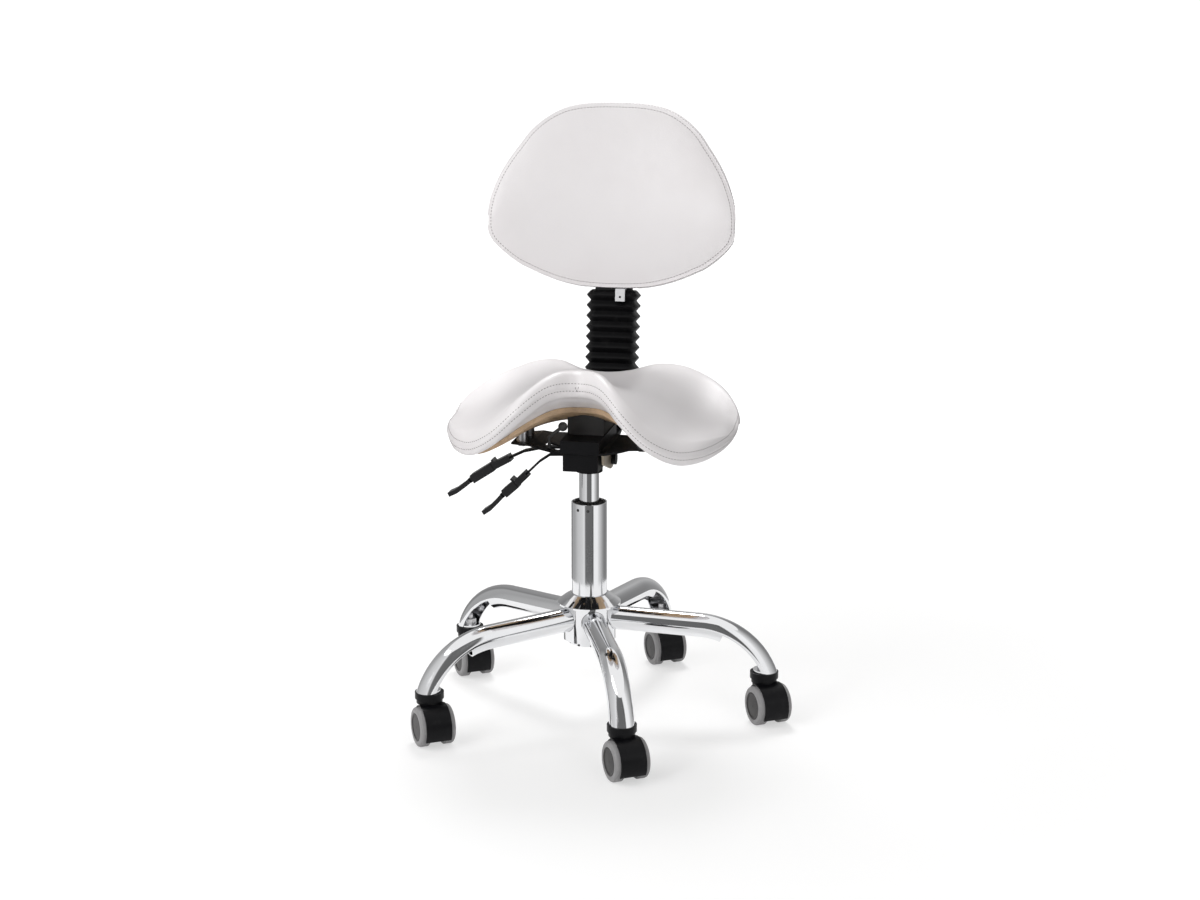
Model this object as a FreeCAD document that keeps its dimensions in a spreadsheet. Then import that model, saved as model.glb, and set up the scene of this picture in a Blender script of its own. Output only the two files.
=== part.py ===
import FreeCAD, Part
import math
import os

# A saddle stool on a five-arm caster base, with a gas lift, a tilting saddle seat,
# two lever handles and a height-sliding backrest on a bar inside a ribbed boot.
# Frame: millimetres, +Z up, origin on the floor under the column, sitter faces -Y.

# Driving sizes: name, value and what it is
SIZES = [
    ("base_turn", -68.3, "heading of the first arm, degrees from +X"),
    ("arm_count", 5, "arms and casters"),
    ("caster_circle", 248.8, "radius of the circle of caster stems"),
    ("arm_diameter", 34.0, "outside of an arm tube"),
    ("arm_wall", 2.0, "wall of an arm tube"),
    ("arm_bend_radius", 105.0, "centreline radius of the arm's bend"),
    ("arm_slope", 3.0, "fall of the arm's straight run, degrees"),
    ("arm_open_from", 22.0, "slope where the arm's underside opens, degrees"),
    ("arm_plate", 3.0, "thickness of the plate that the caster stem stands in"),
    ("wheel_diameter", 55.0, "over the tyre"),
    ("wheel_width", 14.6, "one wheel of a twin caster"),
    ("wheel_gap", 0.3, "running gap beside the caster's web"),
    ("tyre_depth", 8.0, "thickness of the tyre ring"),
    ("tyre_round", 4.0, "rounding of the tyre's shoulders"),
    ("caster_turn", 33.1, "heading of the caster axles, degrees from +X"),
    ("caster_trail", 15.0, "axle behind the stem"),
    ("caster_height", 71.7, "floor to the top of the caster's neck"),
    ("web_width", 20.0, "web between the two wheels"),
    ("barrel_trim", 20.0, "floor to the flat bottom of the web"),
    ("neck_diameter", 40.0, "collar of the caster"),
    ("neck_drop", 9.0, "height of the collar"),
    ("throat_diameter", 36.0, "below the collar"),
    ("hood_wall", 1.5, "fender over the wheels"),
    ("hood_gap", 0.8, "between tyre and fender"),
    ("hood_width", 36.0, "fender, across both wheels"),
    ("axle_diameter", 6.0, "caster axle"),
    ("stem_diameter", 10.0, "caster stem"),
    ("stem_depth", 38.0, "stem inside the caster"),
    ("stem_rise", 14.0, "stem above the arm's plate"),
    ("nut_width", 17.0, "across the flats of the stem nut"),
    ("nut_height", 8.0, "stem nut"),
    ("hub_diameter", 74.0, "hub barrel"),
    ("hub_top", 161.0, "floor to the hub's top face"),
    ("hub_height", 50.0, "hub barrel"),
    ("hub_boss_diameter", 58.0, "lower boss of the hub"),
    ("hub_boss_height", 6.0, "lower boss of the hub"),
    ("hub_lip", 3.0, "ledge that the column stands on"),
    ("arm_reach_in", 8.6, "how far an arm goes into the hub"),
    ("arm_drop", 19.2, "hub's top face to the arm's axis"),
    ("collar_diameter", 89.0, "flange of the hub"),
    ("collar_rim", 4.0, "flange of the hub at its edge"),
    ("collar_height", 16.5, "flange of the hub at the column"),
    ("column_diameter", 50.0, "outer tube of the gas lift"),
    ("column_wall", 1.6, "outer tube of the gas lift"),
    ("column_top", 310.0, "floor to the top of the outer tube"),
    ("column_floor", 3.0, "end plate of the outer tube"),
    ("bush_length", 58.0, "guide bush in the outer tube"),
    ("bush_recess", 2.5, "dished top of the guide bush"),
    ("cylinder_diameter", 28.0, "gas cylinder"),
    ("cylinder_bottom", 140.0, "floor to the gas cylinder's lower end"),
    ("cylinder_wall", 3.0, "gas cylinder"),
    ("rod_diameter", 10.0, "piston rod"),
    ("rod_top", 262.0, "floor to the top of the piston"),
    ("piston_length", 8.0, "piston on the rod"),
    ("bearing_height", 5.0, "thrust bearing on the tube's end plate"),
    ("clip_height", 2.0, "retaining clip under the tube's end plate"),
    ("run_gap", 0.05, "radial clearance of running fits"),
    ("seat_gap", 0.1, "radial clearance of fixed fits"),
    ("free_gap", 0.3, "gap between pieces that only lie near"),
    ("box_width", 49.0, "mechanism housing"),
    ("box_front", 60.0, "housing, ahead of the column axis"),
    ("box_back", 30.0, "housing, behind the column axis"),
    ("box_bottom", 367.0, "floor to the housing's underside"),
    ("box_height", 24.0, "housing"),
    ("box_wall", 2.5, "housing"),
    ("cheek_reach", 22.0, "cheeks behind the housing, for the back pivot"),
    ("socket_diameter", 38.0, "socket for the gas cylinder"),
    ("socket_drop", 13.0, "socket below the housing"),
    ("socket_rise", 8.0, "socket above the housing's underside"),
    ("valve_diameter", 8.0, "valve pin on the gas cylinder"),
    ("valve_depth", 10.0, "valve pin's bore in the gas cylinder"),
    ("valve_travel", 5.0, "room under the valve pin"),
    ("lever_width", 12.0, "flat steel lever"),
    ("lever_thick", 3.0, "flat steel lever"),
    ("lever_pivot_x", -19.0, "lever pivot beside the column axis"),
    ("lever_pivot_z", 386.5, "floor to the lever pivot"),
    ("lever_pin", 4.0, "lever pivot pin"),
    ("lever_boss", 9.0, "boss of the lever round its pin"),
    ("front_lever_y", -40.0, "front lever, ahead of the column axis"),
    ("grip_width", 18.0, "plastic sleeve of a lever"),
    ("grip_thick", 10.0, "plastic sleeve of a lever"),
    ("tilt_axis_y", 10.0, "seat tilt axis, behind the column axis"),
    ("tilt_axis_z", 371.0, "floor to the seat tilt axis"),
    ("tilt_pin", 10.0, "shoulder bolt of the seat tilt"),
    ("tilt_head", 17.0, "head of the shoulder bolt"),
    ("tray_width", 54.6, "channel in the middle of the seat plate"),
    ("tray_bottom", 393.0, "floor to the seat plate's root"),
    ("tray_top", 411.0, "floor to the channel's lip"),
    ("plate_thick", 2.5, "seat plate"),
    ("tray_wall", 1.8, "walls of the channel"),
    ("wing_reach", 97.0, "half span of the seat plate"),
    ("wing_gap", 0.8, "wing ends to the plywood shell"),
    ("lever_room", 6.0, "notch in the seat plate, on each side of the front lever"),
    ("release_rod_width", 5.0, "adjusting rod over the left wing"),
    ("release_knob", 13.0, "round knob of the adjusting rod"),
    ("release_rise", 18.0, "channel's lip to the middle of the knob"),
    ("lug_thick", 3.0, "tilt lug under the seat plate"),
    ("shell_thick", 7.0, "plywood shell"),
    ("shell_inset", 42.0, "shell inside the cushion's edge"),
    ("seat_half_width", 203.0, "half width of the saddle"),
    ("saddle_depth", 311.0, "saddle, front to back over its lobes"),
    ("saddle_foot", 390.0, "floor to the level that the saddle's heights start from"),
    ("saddle_rise", 81.0, "from that level to the dip in the middle of the saddle"),
    ("seat_thick", 40.0, "cushion in the middle"),
    ("seat_edge_drop", 10.0, "edge seam to the cushion's underside"),
    ("bolt_diameter", 6.0, "seat bolts"),
    ("bolt_x", 84.0, "seat bolts, beside the middle"),
    ("bolt_front_y", -48.0, "front seat bolts"),
    ("bolt_back_y", -8.0, "back seat bolts"),
    ("back_axis_y", 41.0, "back pivot, behind the column axis"),
    ("back_axis_z", 381.0, "floor to the back pivot"),
    ("back_pin_diameter", 8.0, "back pivot pin"),
    ("eye_diameter", 18.0, "eye of the back bar"),
    ("bar_width", 40.0, "flat bar of the back"),
    ("bar_thick", 6.0, "flat bar of the back"),
    ("bar_bend", 30.0, "inside radius of the bar's bend"),
    ("bar_lean", 7.8, "lean of the upright bar, degrees"),
    ("bar_foot_y", 151.0, "where the upright meets the pivot's level"),
    ("bar_length", 306.0, "upright, from the pivot's level"),
    ("boot_start", 50.0, "boot's lower end, along the upright"),
    ("boot_ribs", 10, "ribs of the boot"),
    ("rib_pitch", 15.0, "one rib of the boot"),
    ("boot_width", 77.0, "boot across its ribs"),
    ("boot_depth", 50.0, "boot, front to back over its ribs"),
    ("rib_depth", 6.5, "how far a rib stands out"),
    ("boot_wall", 2.0, "rubber of the boot"),
    ("boot_corner", 16.0, "corner radius of the boot over its ribs"),
    ("slider_width", 52.0, "slider sleeve on the bar"),
    ("slider_depth", 16.0, "slider sleeve on the bar"),
    ("slider_length", 96.0, "slider sleeve on the bar"),
    ("slider_tuck", 8.0, "how far the sleeve reaches into the boot"),
    ("slide_gap", 0.1, "clearance of the sleeve on the bar, each side"),
    ("mount_thick", 4.0, "plate that carries the backrest"),
    ("mount_margin", 4.0, "plate's edge inside the pocket"),
    ("back_ahead", 22.0, "front seam ahead of the bar, in the middle"),
    ("back_wrap", 21.0, "how far the backrest's sides come forward"),
    ("back_thick", 46.0, "backrest edge, front to back"),
    ("back_round", 13.0, "rounding of the backrest's rear edge"),
    ("back_edge_swell", 2.0, "swell of the backrest's edge band"),
    ("back_bottom", 205.0, "backrest's lower edge, along the upright"),
    ("back_half_width", 178.5, "half width of the backrest"),
    ("back_height", 260.0, "height of the backrest"),
    ("back_crown", 9.0, "swell of the backrest's front"),
    ("pocket_width", 76.0, "pocket behind the backrest"),
    ("pocket_height", 150.0, "pocket behind the backrest"),
    ("tab_width", 14.0, "metal tab under the backrest"),
    ("tab_drop", 18.0, "metal tab under the backrest"),
    ("tab_thick", 2.0, "metal tab under the backrest"),
    ("tab_x", 14.0, "tab beside the middle"),
]

doc = FreeCAD.newDocument("SaddleStool")
sheet = doc.addObject("Spreadsheet::Sheet", "Sizes")
for row, (alias, value, meaning) in enumerate(SIZES, start=1):
    sheet.set(f"A{row}", meaning)
    sheet.set(f"B{row}", str(value))
    sheet.setAlias(f"B{row}", alias)
doc.recompute()


class Term:
    """A size, or a sum of sizes, as a sheet expression with its present value."""

    def __init__(self, text, value):
        self.text = text
        self.value = float(value)

    @staticmethod
    def of(other):
        return other if isinstance(other, Term) else Term(repr(float(other)), other)

    def __add__(self, other):
        other = Term.of(other)
        return Term(f"({self.text} + {other.text})", self.value + other.value)

    def __sub__(self, other):
        other = Term.of(other)
        return Term(f"({self.text} - {other.text})", self.value - other.value)

    def __mul__(self, other):
        other = Term.of(other)
        return Term(f"({self.text} * {other.text})", self.value * other.value)

    def __truediv__(self, other):
        other = Term.of(other)
        return Term(f"({self.text} / {other.text})", self.value / other.value)

    def __radd__(self, other):
        return Term.of(other) + self

    def __rsub__(self, other):
        return Term.of(other) - self

    def __rmul__(self, other):
        return Term.of(other) * self

    def __neg__(self):
        return Term(f"(0 - {self.text})", -self.value)

    def __float__(self):
        return self.value


class Names:
    """Each named size of the sheet as a Term."""

    def __getattr__(self, alias):
        return Term(f"Sizes.{alias}", sheet.get(alias))


S = Names()
V = FreeCAD.Vector
UP = V(0, 0, 1)
SUBPARTS = []


DERIVED = []


def derive(alias, value, meaning):
    """Write a size that follows from the others into the sheet."""
    DERIVED.append(alias)
    row = len(SIZES) + len(DERIVED)
    sheet.set(f"A{row}", meaning)
    sheet.set(f"B{row}", str(round(value, 6)))
    sheet.setAlias(f"B{row}", alias)
    doc.recompute()


def bind(thing, **terms):
    """Bind properties of an object to terms."""
    for prop, term in terms.items():
        term = Term.of(term)
        setattr(thing, prop, term.value)
        thing.setExpression(prop, term.text)
    return thing


def place(thing, x=0.0, y=0.0, z=0.0, axis=UP, degrees=0.0):
    """Turn an object about an axis through its own origin and bind its place."""
    terms = [Term.of(term) for term in (x, y, z)]
    spot = V(*[term.value for term in terms])
    thing.Placement = FreeCAD.Placement(spot, FreeCAD.Rotation(axis, float(degrees)))
    for letter, term in zip("xyz", terms):
        thing.setExpression(f"Placement.Base.{letter}", term.text)
    return thing


def cylinder(name, radius, height, **where):
    """A cylinder that rises from its place."""
    thing = doc.addObject("Part::Cylinder", name)
    return place(bind(thing, Radius=radius, Height=height), **where)


def block(name, x, y, z, low):
    """A box with its lowest corner at low."""
    thing = doc.addObject("Part::Box", name)
    bind(thing, Length=x, Width=y, Height=z)
    return place(thing, x=low[0], y=low[1], z=low[2])


def fuse(name, *pieces):
    """Join pieces into one solid."""
    thing = doc.addObject("Part::MultiFuse", name)
    thing.Shapes = list(pieces)
    thing.Refine = True
    return thing


def cut(name, base, *tools):
    """Take tools away from a base, one boolean each."""
    for number, tool in enumerate(tools, start=1):
        last = number == len(tools)
        step = doc.addObject("Part::Cut", name if last else f"{name}_step{number}")
        step.Base = base
        step.Tool = tool
        step.Refine = True
        base = step
    return base


def common(name, base, tool):
    """Keep what two pieces share."""
    thing = doc.addObject("Part::Common", name)
    thing.Base = base
    thing.Tool = tool
    return thing


def finish(thing, label):
    """Name a finished sub-part."""
    thing.Label = label
    SUBPARTS.append(thing)
    return thing


def shaped(shape, label, placement=None):
    """A sub-part whose shape is worked out in code, placed after its shape."""
    thing = doc.addObject("Part::Feature", label)
    thing.Shape = shape
    if placement is not None:
        thing.Placement = placement
    return finish(thing, label)


def plane_of(body, role):
    """One of a body's own origin planes."""
    return next(item for item in body.Origin.OriginFeatures if item.Role == role)


def outline(body, name, role, corners, offset=0.0):
    """A closed sketch of straight sides whose corners are bound to terms."""
    import Sketcher

    sketch = body.newObject("Sketcher::SketchObject", name)
    sketch.AttachmentSupport = [(plane_of(body, role), "")]
    sketch.MapMode = "FlatFace"
    sketch.AttachmentOffset = FreeCAD.Placement(V(0, 0, float(offset)), FreeCAD.Rotation())
    if isinstance(offset, Term):
        sketch.setExpression("AttachmentOffset.Base.z", offset.text)
    spots = [V(float(u), float(v), 0) for u, v in corners]
    count = len(spots)
    for number in range(count):
        sketch.addGeometry(Part.LineSegment(spots[number], spots[(number + 1) % count]), False)
    for number in range(count):
        sketch.addConstraint(Sketcher.Constraint("Coincident", number, 2, (number + 1) % count, 1))
    for number, (u, v) in enumerate(corners):
        for kind, axis, term in (("DistanceX", -2, Term.of(u)), ("DistanceY", -1, Term.of(v))):
            if term.value == 0:
                sketch.addConstraint(Sketcher.Constraint("PointOnObject", number, 1, axis))
                continue
            index = sketch.addConstraint(
                Sketcher.Constraint(kind, -1, 1, number, 1, term.value))
            sketch.setExpression(f"Constraints[{index}]", term.text)
    return sketch


def turned(name, corners):
    """A PartDesign body turned about the vertical axis from (radius, height) corners."""
    body = doc.addObject("PartDesign::Body", name)
    sketch = outline(body, f"{name}_profile", "XZ_Plane", corners)
    feature = body.newObject("PartDesign::Revolution", f"{name}_turned")
    feature.Profile = (sketch, [""])
    feature.ReferenceAxis = (sketch, ["V_Axis"])
    feature.Angle = 360
    sketch.Visibility = False
    return body


def padded(name, role, corners, length, offset=0.0, midplane=False):
    """A PartDesign body padded from an outline."""
    body = doc.addObject("PartDesign::Body", name)
    sketch = outline(body, f"{name}_outline", role, corners, offset)
    feature = body.newObject("PartDesign::Pad", f"{name}_pad")
    feature.Profile = (sketch, [""])
    bind(feature, Length=length)
    if midplane:
        feature.Midplane = True
    return body


def heading(degrees):
    """A turn about the vertical axis."""
    return FreeCAD.Rotation(UP, float(degrees))


def arm_headings():
    """Headings of the arms, evenly spaced."""
    count = int(S.arm_count.value)
    return [S.base_turn.value + 360.0 / count * number for number in range(count)]


def radial(degrees, distance):
    """A floor point at a heading and distance."""
    angle = math.radians(degrees)
    return V(distance * math.cos(angle), distance * math.sin(angle), 0)


# Arm axis, in the radial plane

def arm_end_height():
    """Floor to the underside of an arm's plate, just clear of the caster's neck."""
    return S.caster_height.value + S.free_gap.value


def arm_steepness():
    """Slope of the arm over the caster stem, in radians, that brings it down to its plate."""
    slope = math.radians(S.arm_slope.value)
    bend = S.arm_bend_radius.value
    top = S.hub_top.value - S.arm_drop.value
    reach = S.caster_circle.value - S.hub_diameter.value / 2 + bend * math.sin(slope)
    left = arm_end_height() - top + reach * math.tan(slope) + bend * math.cos(slope)
    return slope + math.acos(left * math.cos(slope) / bend)


def arm_axis():
    """Start, bend start and bend centre of an arm's axis, as (radius, height)."""
    slope = math.radians(S.arm_slope.value)
    steep = arm_steepness()
    bend = S.arm_bend_radius.value
    top = S.hub_top.value - S.arm_drop.value
    root = S.hub_diameter.value / 2
    turn = S.caster_circle.value - bend * (math.sin(steep) - math.sin(slope))
    height = top - (turn - root) * math.tan(slope)
    start = root - S.arm_reach_in.value
    first = (start, top + S.arm_reach_in.value * math.tan(slope))
    centre = (turn - bend * math.sin(slope), height - bend * math.cos(slope))
    return first, (turn, height), centre


def arm_solid():
    """One arm along +X: a bent tube, open underneath near its plate."""
    first, turn, centre = arm_axis()
    end = arm_end_height()
    bend = S.arm_bend_radius.value
    outer = S.arm_diameter.value / 2
    wall = S.arm_wall.value
    pivot = V(centre[0], 0, centre[1])
    beyond = math.degrees(arm_steepness() + outer / bend) + 4
    begin = V(first[0], 0, first[1])
    knee = V(turn[0], 0, turn[1])
    along = knee - begin
    across = V(0, 1, 0)

    turn_by = math.radians(beyond)
    middle_by = math.radians((beyond + S.arm_slope.value) / 2)
    tail = pivot + V(math.sin(turn_by), 0, math.cos(turn_by)) * bend
    halfway = pivot + V(math.sin(middle_by), 0, math.cos(middle_by)) * bend
    path = Part.Wire([
        Part.LineSegment(begin, knee).toShape(), Part.Arc(knee, halfway, tail).toShape()])

    def tube(radius):
        ring = Part.Wire([Part.Circle(begin, along, radius).toShape()])
        return path.makePipeShell([ring], True, False)

    span = 4 * outer
    opening_turn = math.radians(S.arm_open_from.value)
    outward = V(math.sin(opening_turn), 0, math.cos(opening_turn))
    reach = bend - wall
    corners = [pivot - across * span, pivot + outward * reach - across * span,
               pivot + outward * reach + across * span, pivot + across * span]
    sheet_face = Part.Face(Part.makePolygon(corners + [corners[0]]))
    opening = sheet_face.revolve(pivot, across, beyond + 10 - S.arm_open_from.value)
    hollow = tube(outer).cut(tube(outer - wall)).cut(opening)
    stem_spot = V(S.caster_circle.value, 0, end)
    below = Part.makeBox(2 * span, 2 * span, 2 * span, stem_spot - V(span, span, 2 * span))
    hollow = hollow.cut(below)
    plate = Part.makeCylinder(outer - wall / 2, S.arm_plate.value, stem_spot)
    arm = hollow.fuse(plate)
    hole = Part.makeCylinder(
        S.stem_diameter.value / 2 + S.seat_gap.value, 3 * S.arm_plate.value,
        stem_spot - UP * S.arm_plate.value)
    return arm.cut(hole).removeSplitter()


def make_arms():
    """Five arms, set into the hub."""
    arm = arm_solid()
    for number, degrees in enumerate(arm_headings(), start=1):
        shaped(arm, f"arm_{number}", FreeCAD.Placement(V(), heading(degrees)))


def make_hub():
    """Hub barrel with a socket for each arm and a bore for the column."""
    bore = S.column_diameter / 2 + S.seat_gap
    outer = S.hub_diameter / 2
    boss = S.hub_boss_diameter / 2
    low = S.hub_top - S.hub_height
    foot = low - S.hub_boss_height
    ledge = bore - S.hub_lip
    corners = [
        (bore, S.hub_top), (outer, S.hub_top), (outer, low), (boss, low), (boss, foot),
        (ledge, foot), (ledge, column_foot()), (bore, column_foot()),
    ]
    barrel = turned("HubBarrel", corners)
    first, turn, _ = arm_axis()
    away = V(turn[0] - first[0], 0, turn[1] - first[1])
    radius = S.arm_diameter.value / 2 + S.free_gap.value
    start = V(first[0] - S.free_gap.value, 0, first[1])
    sockets = []
    for degrees in arm_headings():
        socket = Part.makeCylinder(radius, S.hub_diameter.value, start, away)
        socket.rotate(V(), UP, degrees)
        sockets.append(socket)
    tools = doc.addObject("Part::Feature", "ArmSockets")
    tools.Shape = Part.makeCompound(sockets)
    finish(cut("Hub", barrel, tools), "hub")


def column_foot():
    """Floor to the lower end of the outer tube."""
    return S.hub_top - S.hub_height - S.hub_boss_height / 2


def make_hub_collar():
    """Flange on top of the hub, rising in a cone to the column."""
    bore = S.column_diameter / 2 + S.seat_gap
    rim = S.collar_diameter / 2
    top = S.hub_top + S.collar_height
    corners = [
        (bore, S.hub_top), (S.hub_diameter / 2, S.hub_top), (rim, S.hub_top + S.collar_rim / 3),
        (rim, S.hub_top + S.collar_rim), (rim - 9, S.hub_top + S.collar_rim + 7),
        (bore + 2, top), (bore, top),
    ]
    finish(turned("HubCollar", corners), "hub_collar")


def make_column():
    """Outer tube of the gas lift with its end plate."""
    outer = S.column_diameter / 2
    inner = outer - S.column_wall
    hole = S.rod_diameter / 2 + S.run_gap
    foot = column_foot()
    corners = [
        (hole, foot), (outer, foot), (outer, S.column_top), (inner, S.column_top),
        (inner, foot + S.column_floor), (hole, foot + S.column_floor),
    ]
    finish(turned("ColumnTube", corners), "column_tube")


def make_bush():
    """Guide bush in the top of the outer tube, dished on top."""
    outer = S.column_diameter / 2 - S.column_wall - S.seat_gap
    inner = S.cylinder_diameter / 2 + S.run_gap
    top = S.column_top - 0.5
    low = S.column_top - S.bush_length
    corners = [
        (inner, low), (outer, low), (outer, top), (outer - 2.5, top),
        (outer - 3.5, top - S.bush_recess), (inner, top - S.bush_recess),
    ]
    finish(turned("ColumnBush", corners), "column_bush")


def make_bearing():
    """Thrust bearing on the tube's end plate."""
    inner = S.rod_diameter / 2 + S.run_gap
    low = column_foot() + S.column_floor
    body = turned("ThrustBearing", [
        (inner, low), (S.rod_diameter * 1.3, low), (S.rod_diameter * 1.3, low + S.bearing_height),
        (inner, low + S.bearing_height)])
    finish(body, "thrust_bearing")


def make_rod():
    """Piston rod, standing on the thrust bearing by its shoulder."""
    radius = S.rod_diameter / 2
    foot = column_foot() - S.clip_height - S.free_gap - 0.5
    shoulder = column_foot() + S.column_floor + S.bearing_height + S.run_gap
    piston = S.cylinder_diameter / 2 - S.cylinder_wall - S.free_gap
    corners = [
        (0, foot), (radius, foot), (radius, shoulder), (radius + 4, shoulder),
        (radius + 4, shoulder + 3), (radius, shoulder + 3), (radius, S.rod_top - S.piston_length),
        (piston, S.rod_top - S.piston_length), (piston, S.rod_top), (0, S.rod_top),
    ]
    finish(turned("PistonRod", corners), "piston_rod")


def make_clip():
    """Retaining clip on the rod, under the tube's end plate."""
    inner = S.rod_diameter / 2 + S.seat_gap
    top = column_foot() - S.run_gap
    body = turned("RetainingClip", [
        (inner, top - S.clip_height), (S.rod_diameter, top - S.clip_height), (S.rod_diameter, top),
        (inner, top)])
    finish(body, "retaining_clip")


def cylinder_top():
    """Floor to the top face of the gas cylinder."""
    return S.box_bottom + S.socket_rise - 1


def make_gas_cylinder():
    """Gas cylinder with the room for its piston."""
    outer = S.cylinder_diameter / 2
    gland = S.rod_diameter / 2 + S.run_gap
    inner = outer - S.cylinder_wall
    low = S.cylinder_bottom
    top = cylinder_top()
    valve = S.valve_diameter / 2 + S.run_gap
    roof = S.box_bottom - 22
    corners = [
        (gland, low), (outer - 1, low), (outer, low + 1), (outer, top - 1), (outer - 1, top),
        (valve, top), (valve, top - S.valve_depth), (0, top - S.valve_depth), (0, roof), (inner, roof),
        (inner, low + 10), (gland, low + 10),
    ]
    finish(turned("GasCylinder", corners), "gas_cylinder")


def make_valve_pin():
    """Valve pin on top of the gas cylinder."""
    low = cylinder_top() - S.valve_depth + S.valve_travel
    high = S.lever_pivot_z - S.lever_thick / 2 - S.free_gap - S.run_gap
    pin = cylinder("ValvePin", S.valve_diameter / 2, high - low, z=low)
    finish(pin, "valve_pin")


# Mechanism housing

def make_housing():
    """Open-topped box with cheeks, a socket for the gas cylinder and lever pins."""
    half = S.box_width / 2
    front = -S.box_front
    depth = S.box_front + S.box_back
    shell = block("BoxOuter", S.box_width, depth, S.box_height, (-half, front, S.box_bottom))
    room = block(
        "BoxRoom", S.box_width - 2 * S.box_wall, depth - 2 * S.box_wall, S.box_height,
        (-half + S.box_wall, front + S.box_wall, S.box_bottom + S.box_wall))
    body = cut("BoxShell", shell, room)
    cheeks = []
    for side, x in (("Left", -half), ("Right", half - S.box_wall)):
        cheeks.append(block(
            f"Cheek{side}", S.box_wall, S.cheek_reach, S.box_height,
            (x, S.box_back, S.box_bottom)))
    socket = cylinder(
        "Socket", S.socket_diameter / 2, S.socket_drop + S.socket_rise, z=S.box_bottom - S.socket_drop)
    ears = []
    pins = []
    for name, y in (("Height", 0), ("Tilt", S.front_lever_y)):
        for side, shift in (("Front", -S.lever_width / 2 - 4.5), ("Back", S.lever_width / 2 + 0.5)):
            ears.append(block(
                f"Ear{name}{side}", 9, 4, S.lever_pivot_z + 3 - S.box_bottom,
                (S.lever_pivot_x - 4.5, shift + y, S.box_bottom)))
        pins.append(cylinder(
            f"Pin{name}", S.lever_pin / 2, S.lever_width + 5, x=S.lever_pivot_x,
            y=S.lever_width / 2 + 2.5 + y, z=S.lever_pivot_z, axis=V(1, 0, 0), degrees=90))
    solid = fuse("BoxSolid", body, socket, *cheeks, *ears, *pins)
    bore = cylinder(
        "SocketBore", S.cylinder_diameter / 2 + S.run_gap, S.socket_drop + S.socket_rise + 2,
        z=S.box_bottom - S.socket_drop - 1)
    slots = []
    for name, y in (("Height", 0), ("Tilt", S.front_lever_y)):
        slots.append(block(
            f"Slot{name}", S.box_wall + 3, S.lever_width + 3, S.box_height,
            (-half - 3, -S.lever_width / 2 - 1.5 + y, S.lever_pivot_z - 11)))
    tilt_bore = cylinder(
        "TiltBore", S.tilt_pin / 2 + S.seat_gap, S.box_width + 4, x=-half - 2, y=S.tilt_axis_y,
        z=S.tilt_axis_z, axis=V(0, 1, 0), degrees=90)
    keep_socket = cylinder(
        "SocketKeep", S.socket_diameter / 2, S.box_height, z=S.box_bottom - 1)
    tilt_cut = cut("TiltCut", tilt_bore, keep_socket)
    back_bore = cylinder(
        "BackBore", S.back_pin_diameter / 2 + S.seat_gap, S.box_width + 4, x=-half - 2,
        y=S.back_axis_y, z=S.back_axis_z, axis=V(0, 1, 0), degrees=90)
    finish(cut("Housing", solid, bore, *slots, tilt_cut, back_bore), "mech_housing")


def make_tilt_pins():
    """Two shoulder bolts that carry the seat plate's lugs."""
    half = S.box_width / 2
    pins = []
    head_start = half + lug_gap() + S.lug_thick + S.free_gap
    for side, turn in (("Left", -90), ("Right", 90)):
        sign = 1 if turn > 0 else -1
        shank = cylinder(
            f"TiltShank{side}", S.tilt_pin / 2, head_start - half + S.box_wall,
            x=(half - S.box_wall) * sign, y=S.tilt_axis_y, z=S.tilt_axis_z, axis=V(0, 1, 0),
            degrees=turn)
        head = cylinder(
            f"TiltHead{side}", S.tilt_head / 2, 6, x=head_start * sign, y=S.tilt_axis_y,
            z=S.tilt_axis_z, axis=V(0, 1, 0), degrees=turn)
        pins.append(fuse(f"TiltPin{side}", shank, head))
    thing = doc.addObject("Part::Compound", "TiltPins")
    thing.Links = pins
    finish(thing, "tilt_pins")


def lug_gap():
    """Housing's side to the tilt lug."""
    return (S.tray_width - S.box_width) / 2 + S.free_gap


def make_back_pin():
    """Pivot pin of the back bar, across the cheeks."""
    pin = cylinder(
        "BackPin", S.back_pin_diameter / 2, S.box_width + 2, x=-S.box_width / 2 - 1,
        y=S.back_axis_y, z=S.back_axis_z, axis=V(0, 1, 0), degrees=90)
    finish(pin, "back_pin")


# Levers

def strip(points, thick, low_y, width):
    """A bent flat strip: a line of (x, z) points with a thickness, swept along Y."""
    above = []
    below = []
    count = len(points)
    for number, (x, z) in enumerate(points):
        ahead = points[min(number + 1, count - 1)]
        behind = points[max(number - 1, 0)]
        run = V(ahead[0] - behind[0], 0, ahead[1] - behind[1]).normalize()
        normal = V(run.z, 0, -run.x)
        above.append(V(x, low_y, z) + normal * thick / 2)
        below.append(V(x, low_y, z) - normal * thick / 2)
    ring = above + below[::-1]
    face = Part.Face(Part.makePolygon(ring + [ring[0]]))
    return face.extrude(V(0, width, 0))


def lever_path(which):
    """Centre points of a lever strip as (x, z), from its inner end outwards."""
    pivot = V(S.lever_pivot_x.value, 0, S.lever_pivot_z.value)
    inner = (1, pivot.z)
    if which == "height":
        steps = [(-21, 0), (-44, -1), (-73, -8), (-93, -18), (-118, -32), (-146, -50.5)]
    else:
        steps = [(-12, 0), (-27, -1), (-42, -11.5), (-60, -29.5), (-75, -44.5), (-90, -58)]
    return [inner] + [(pivot.x + across, pivot.z + up) for across, up in steps]


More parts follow.
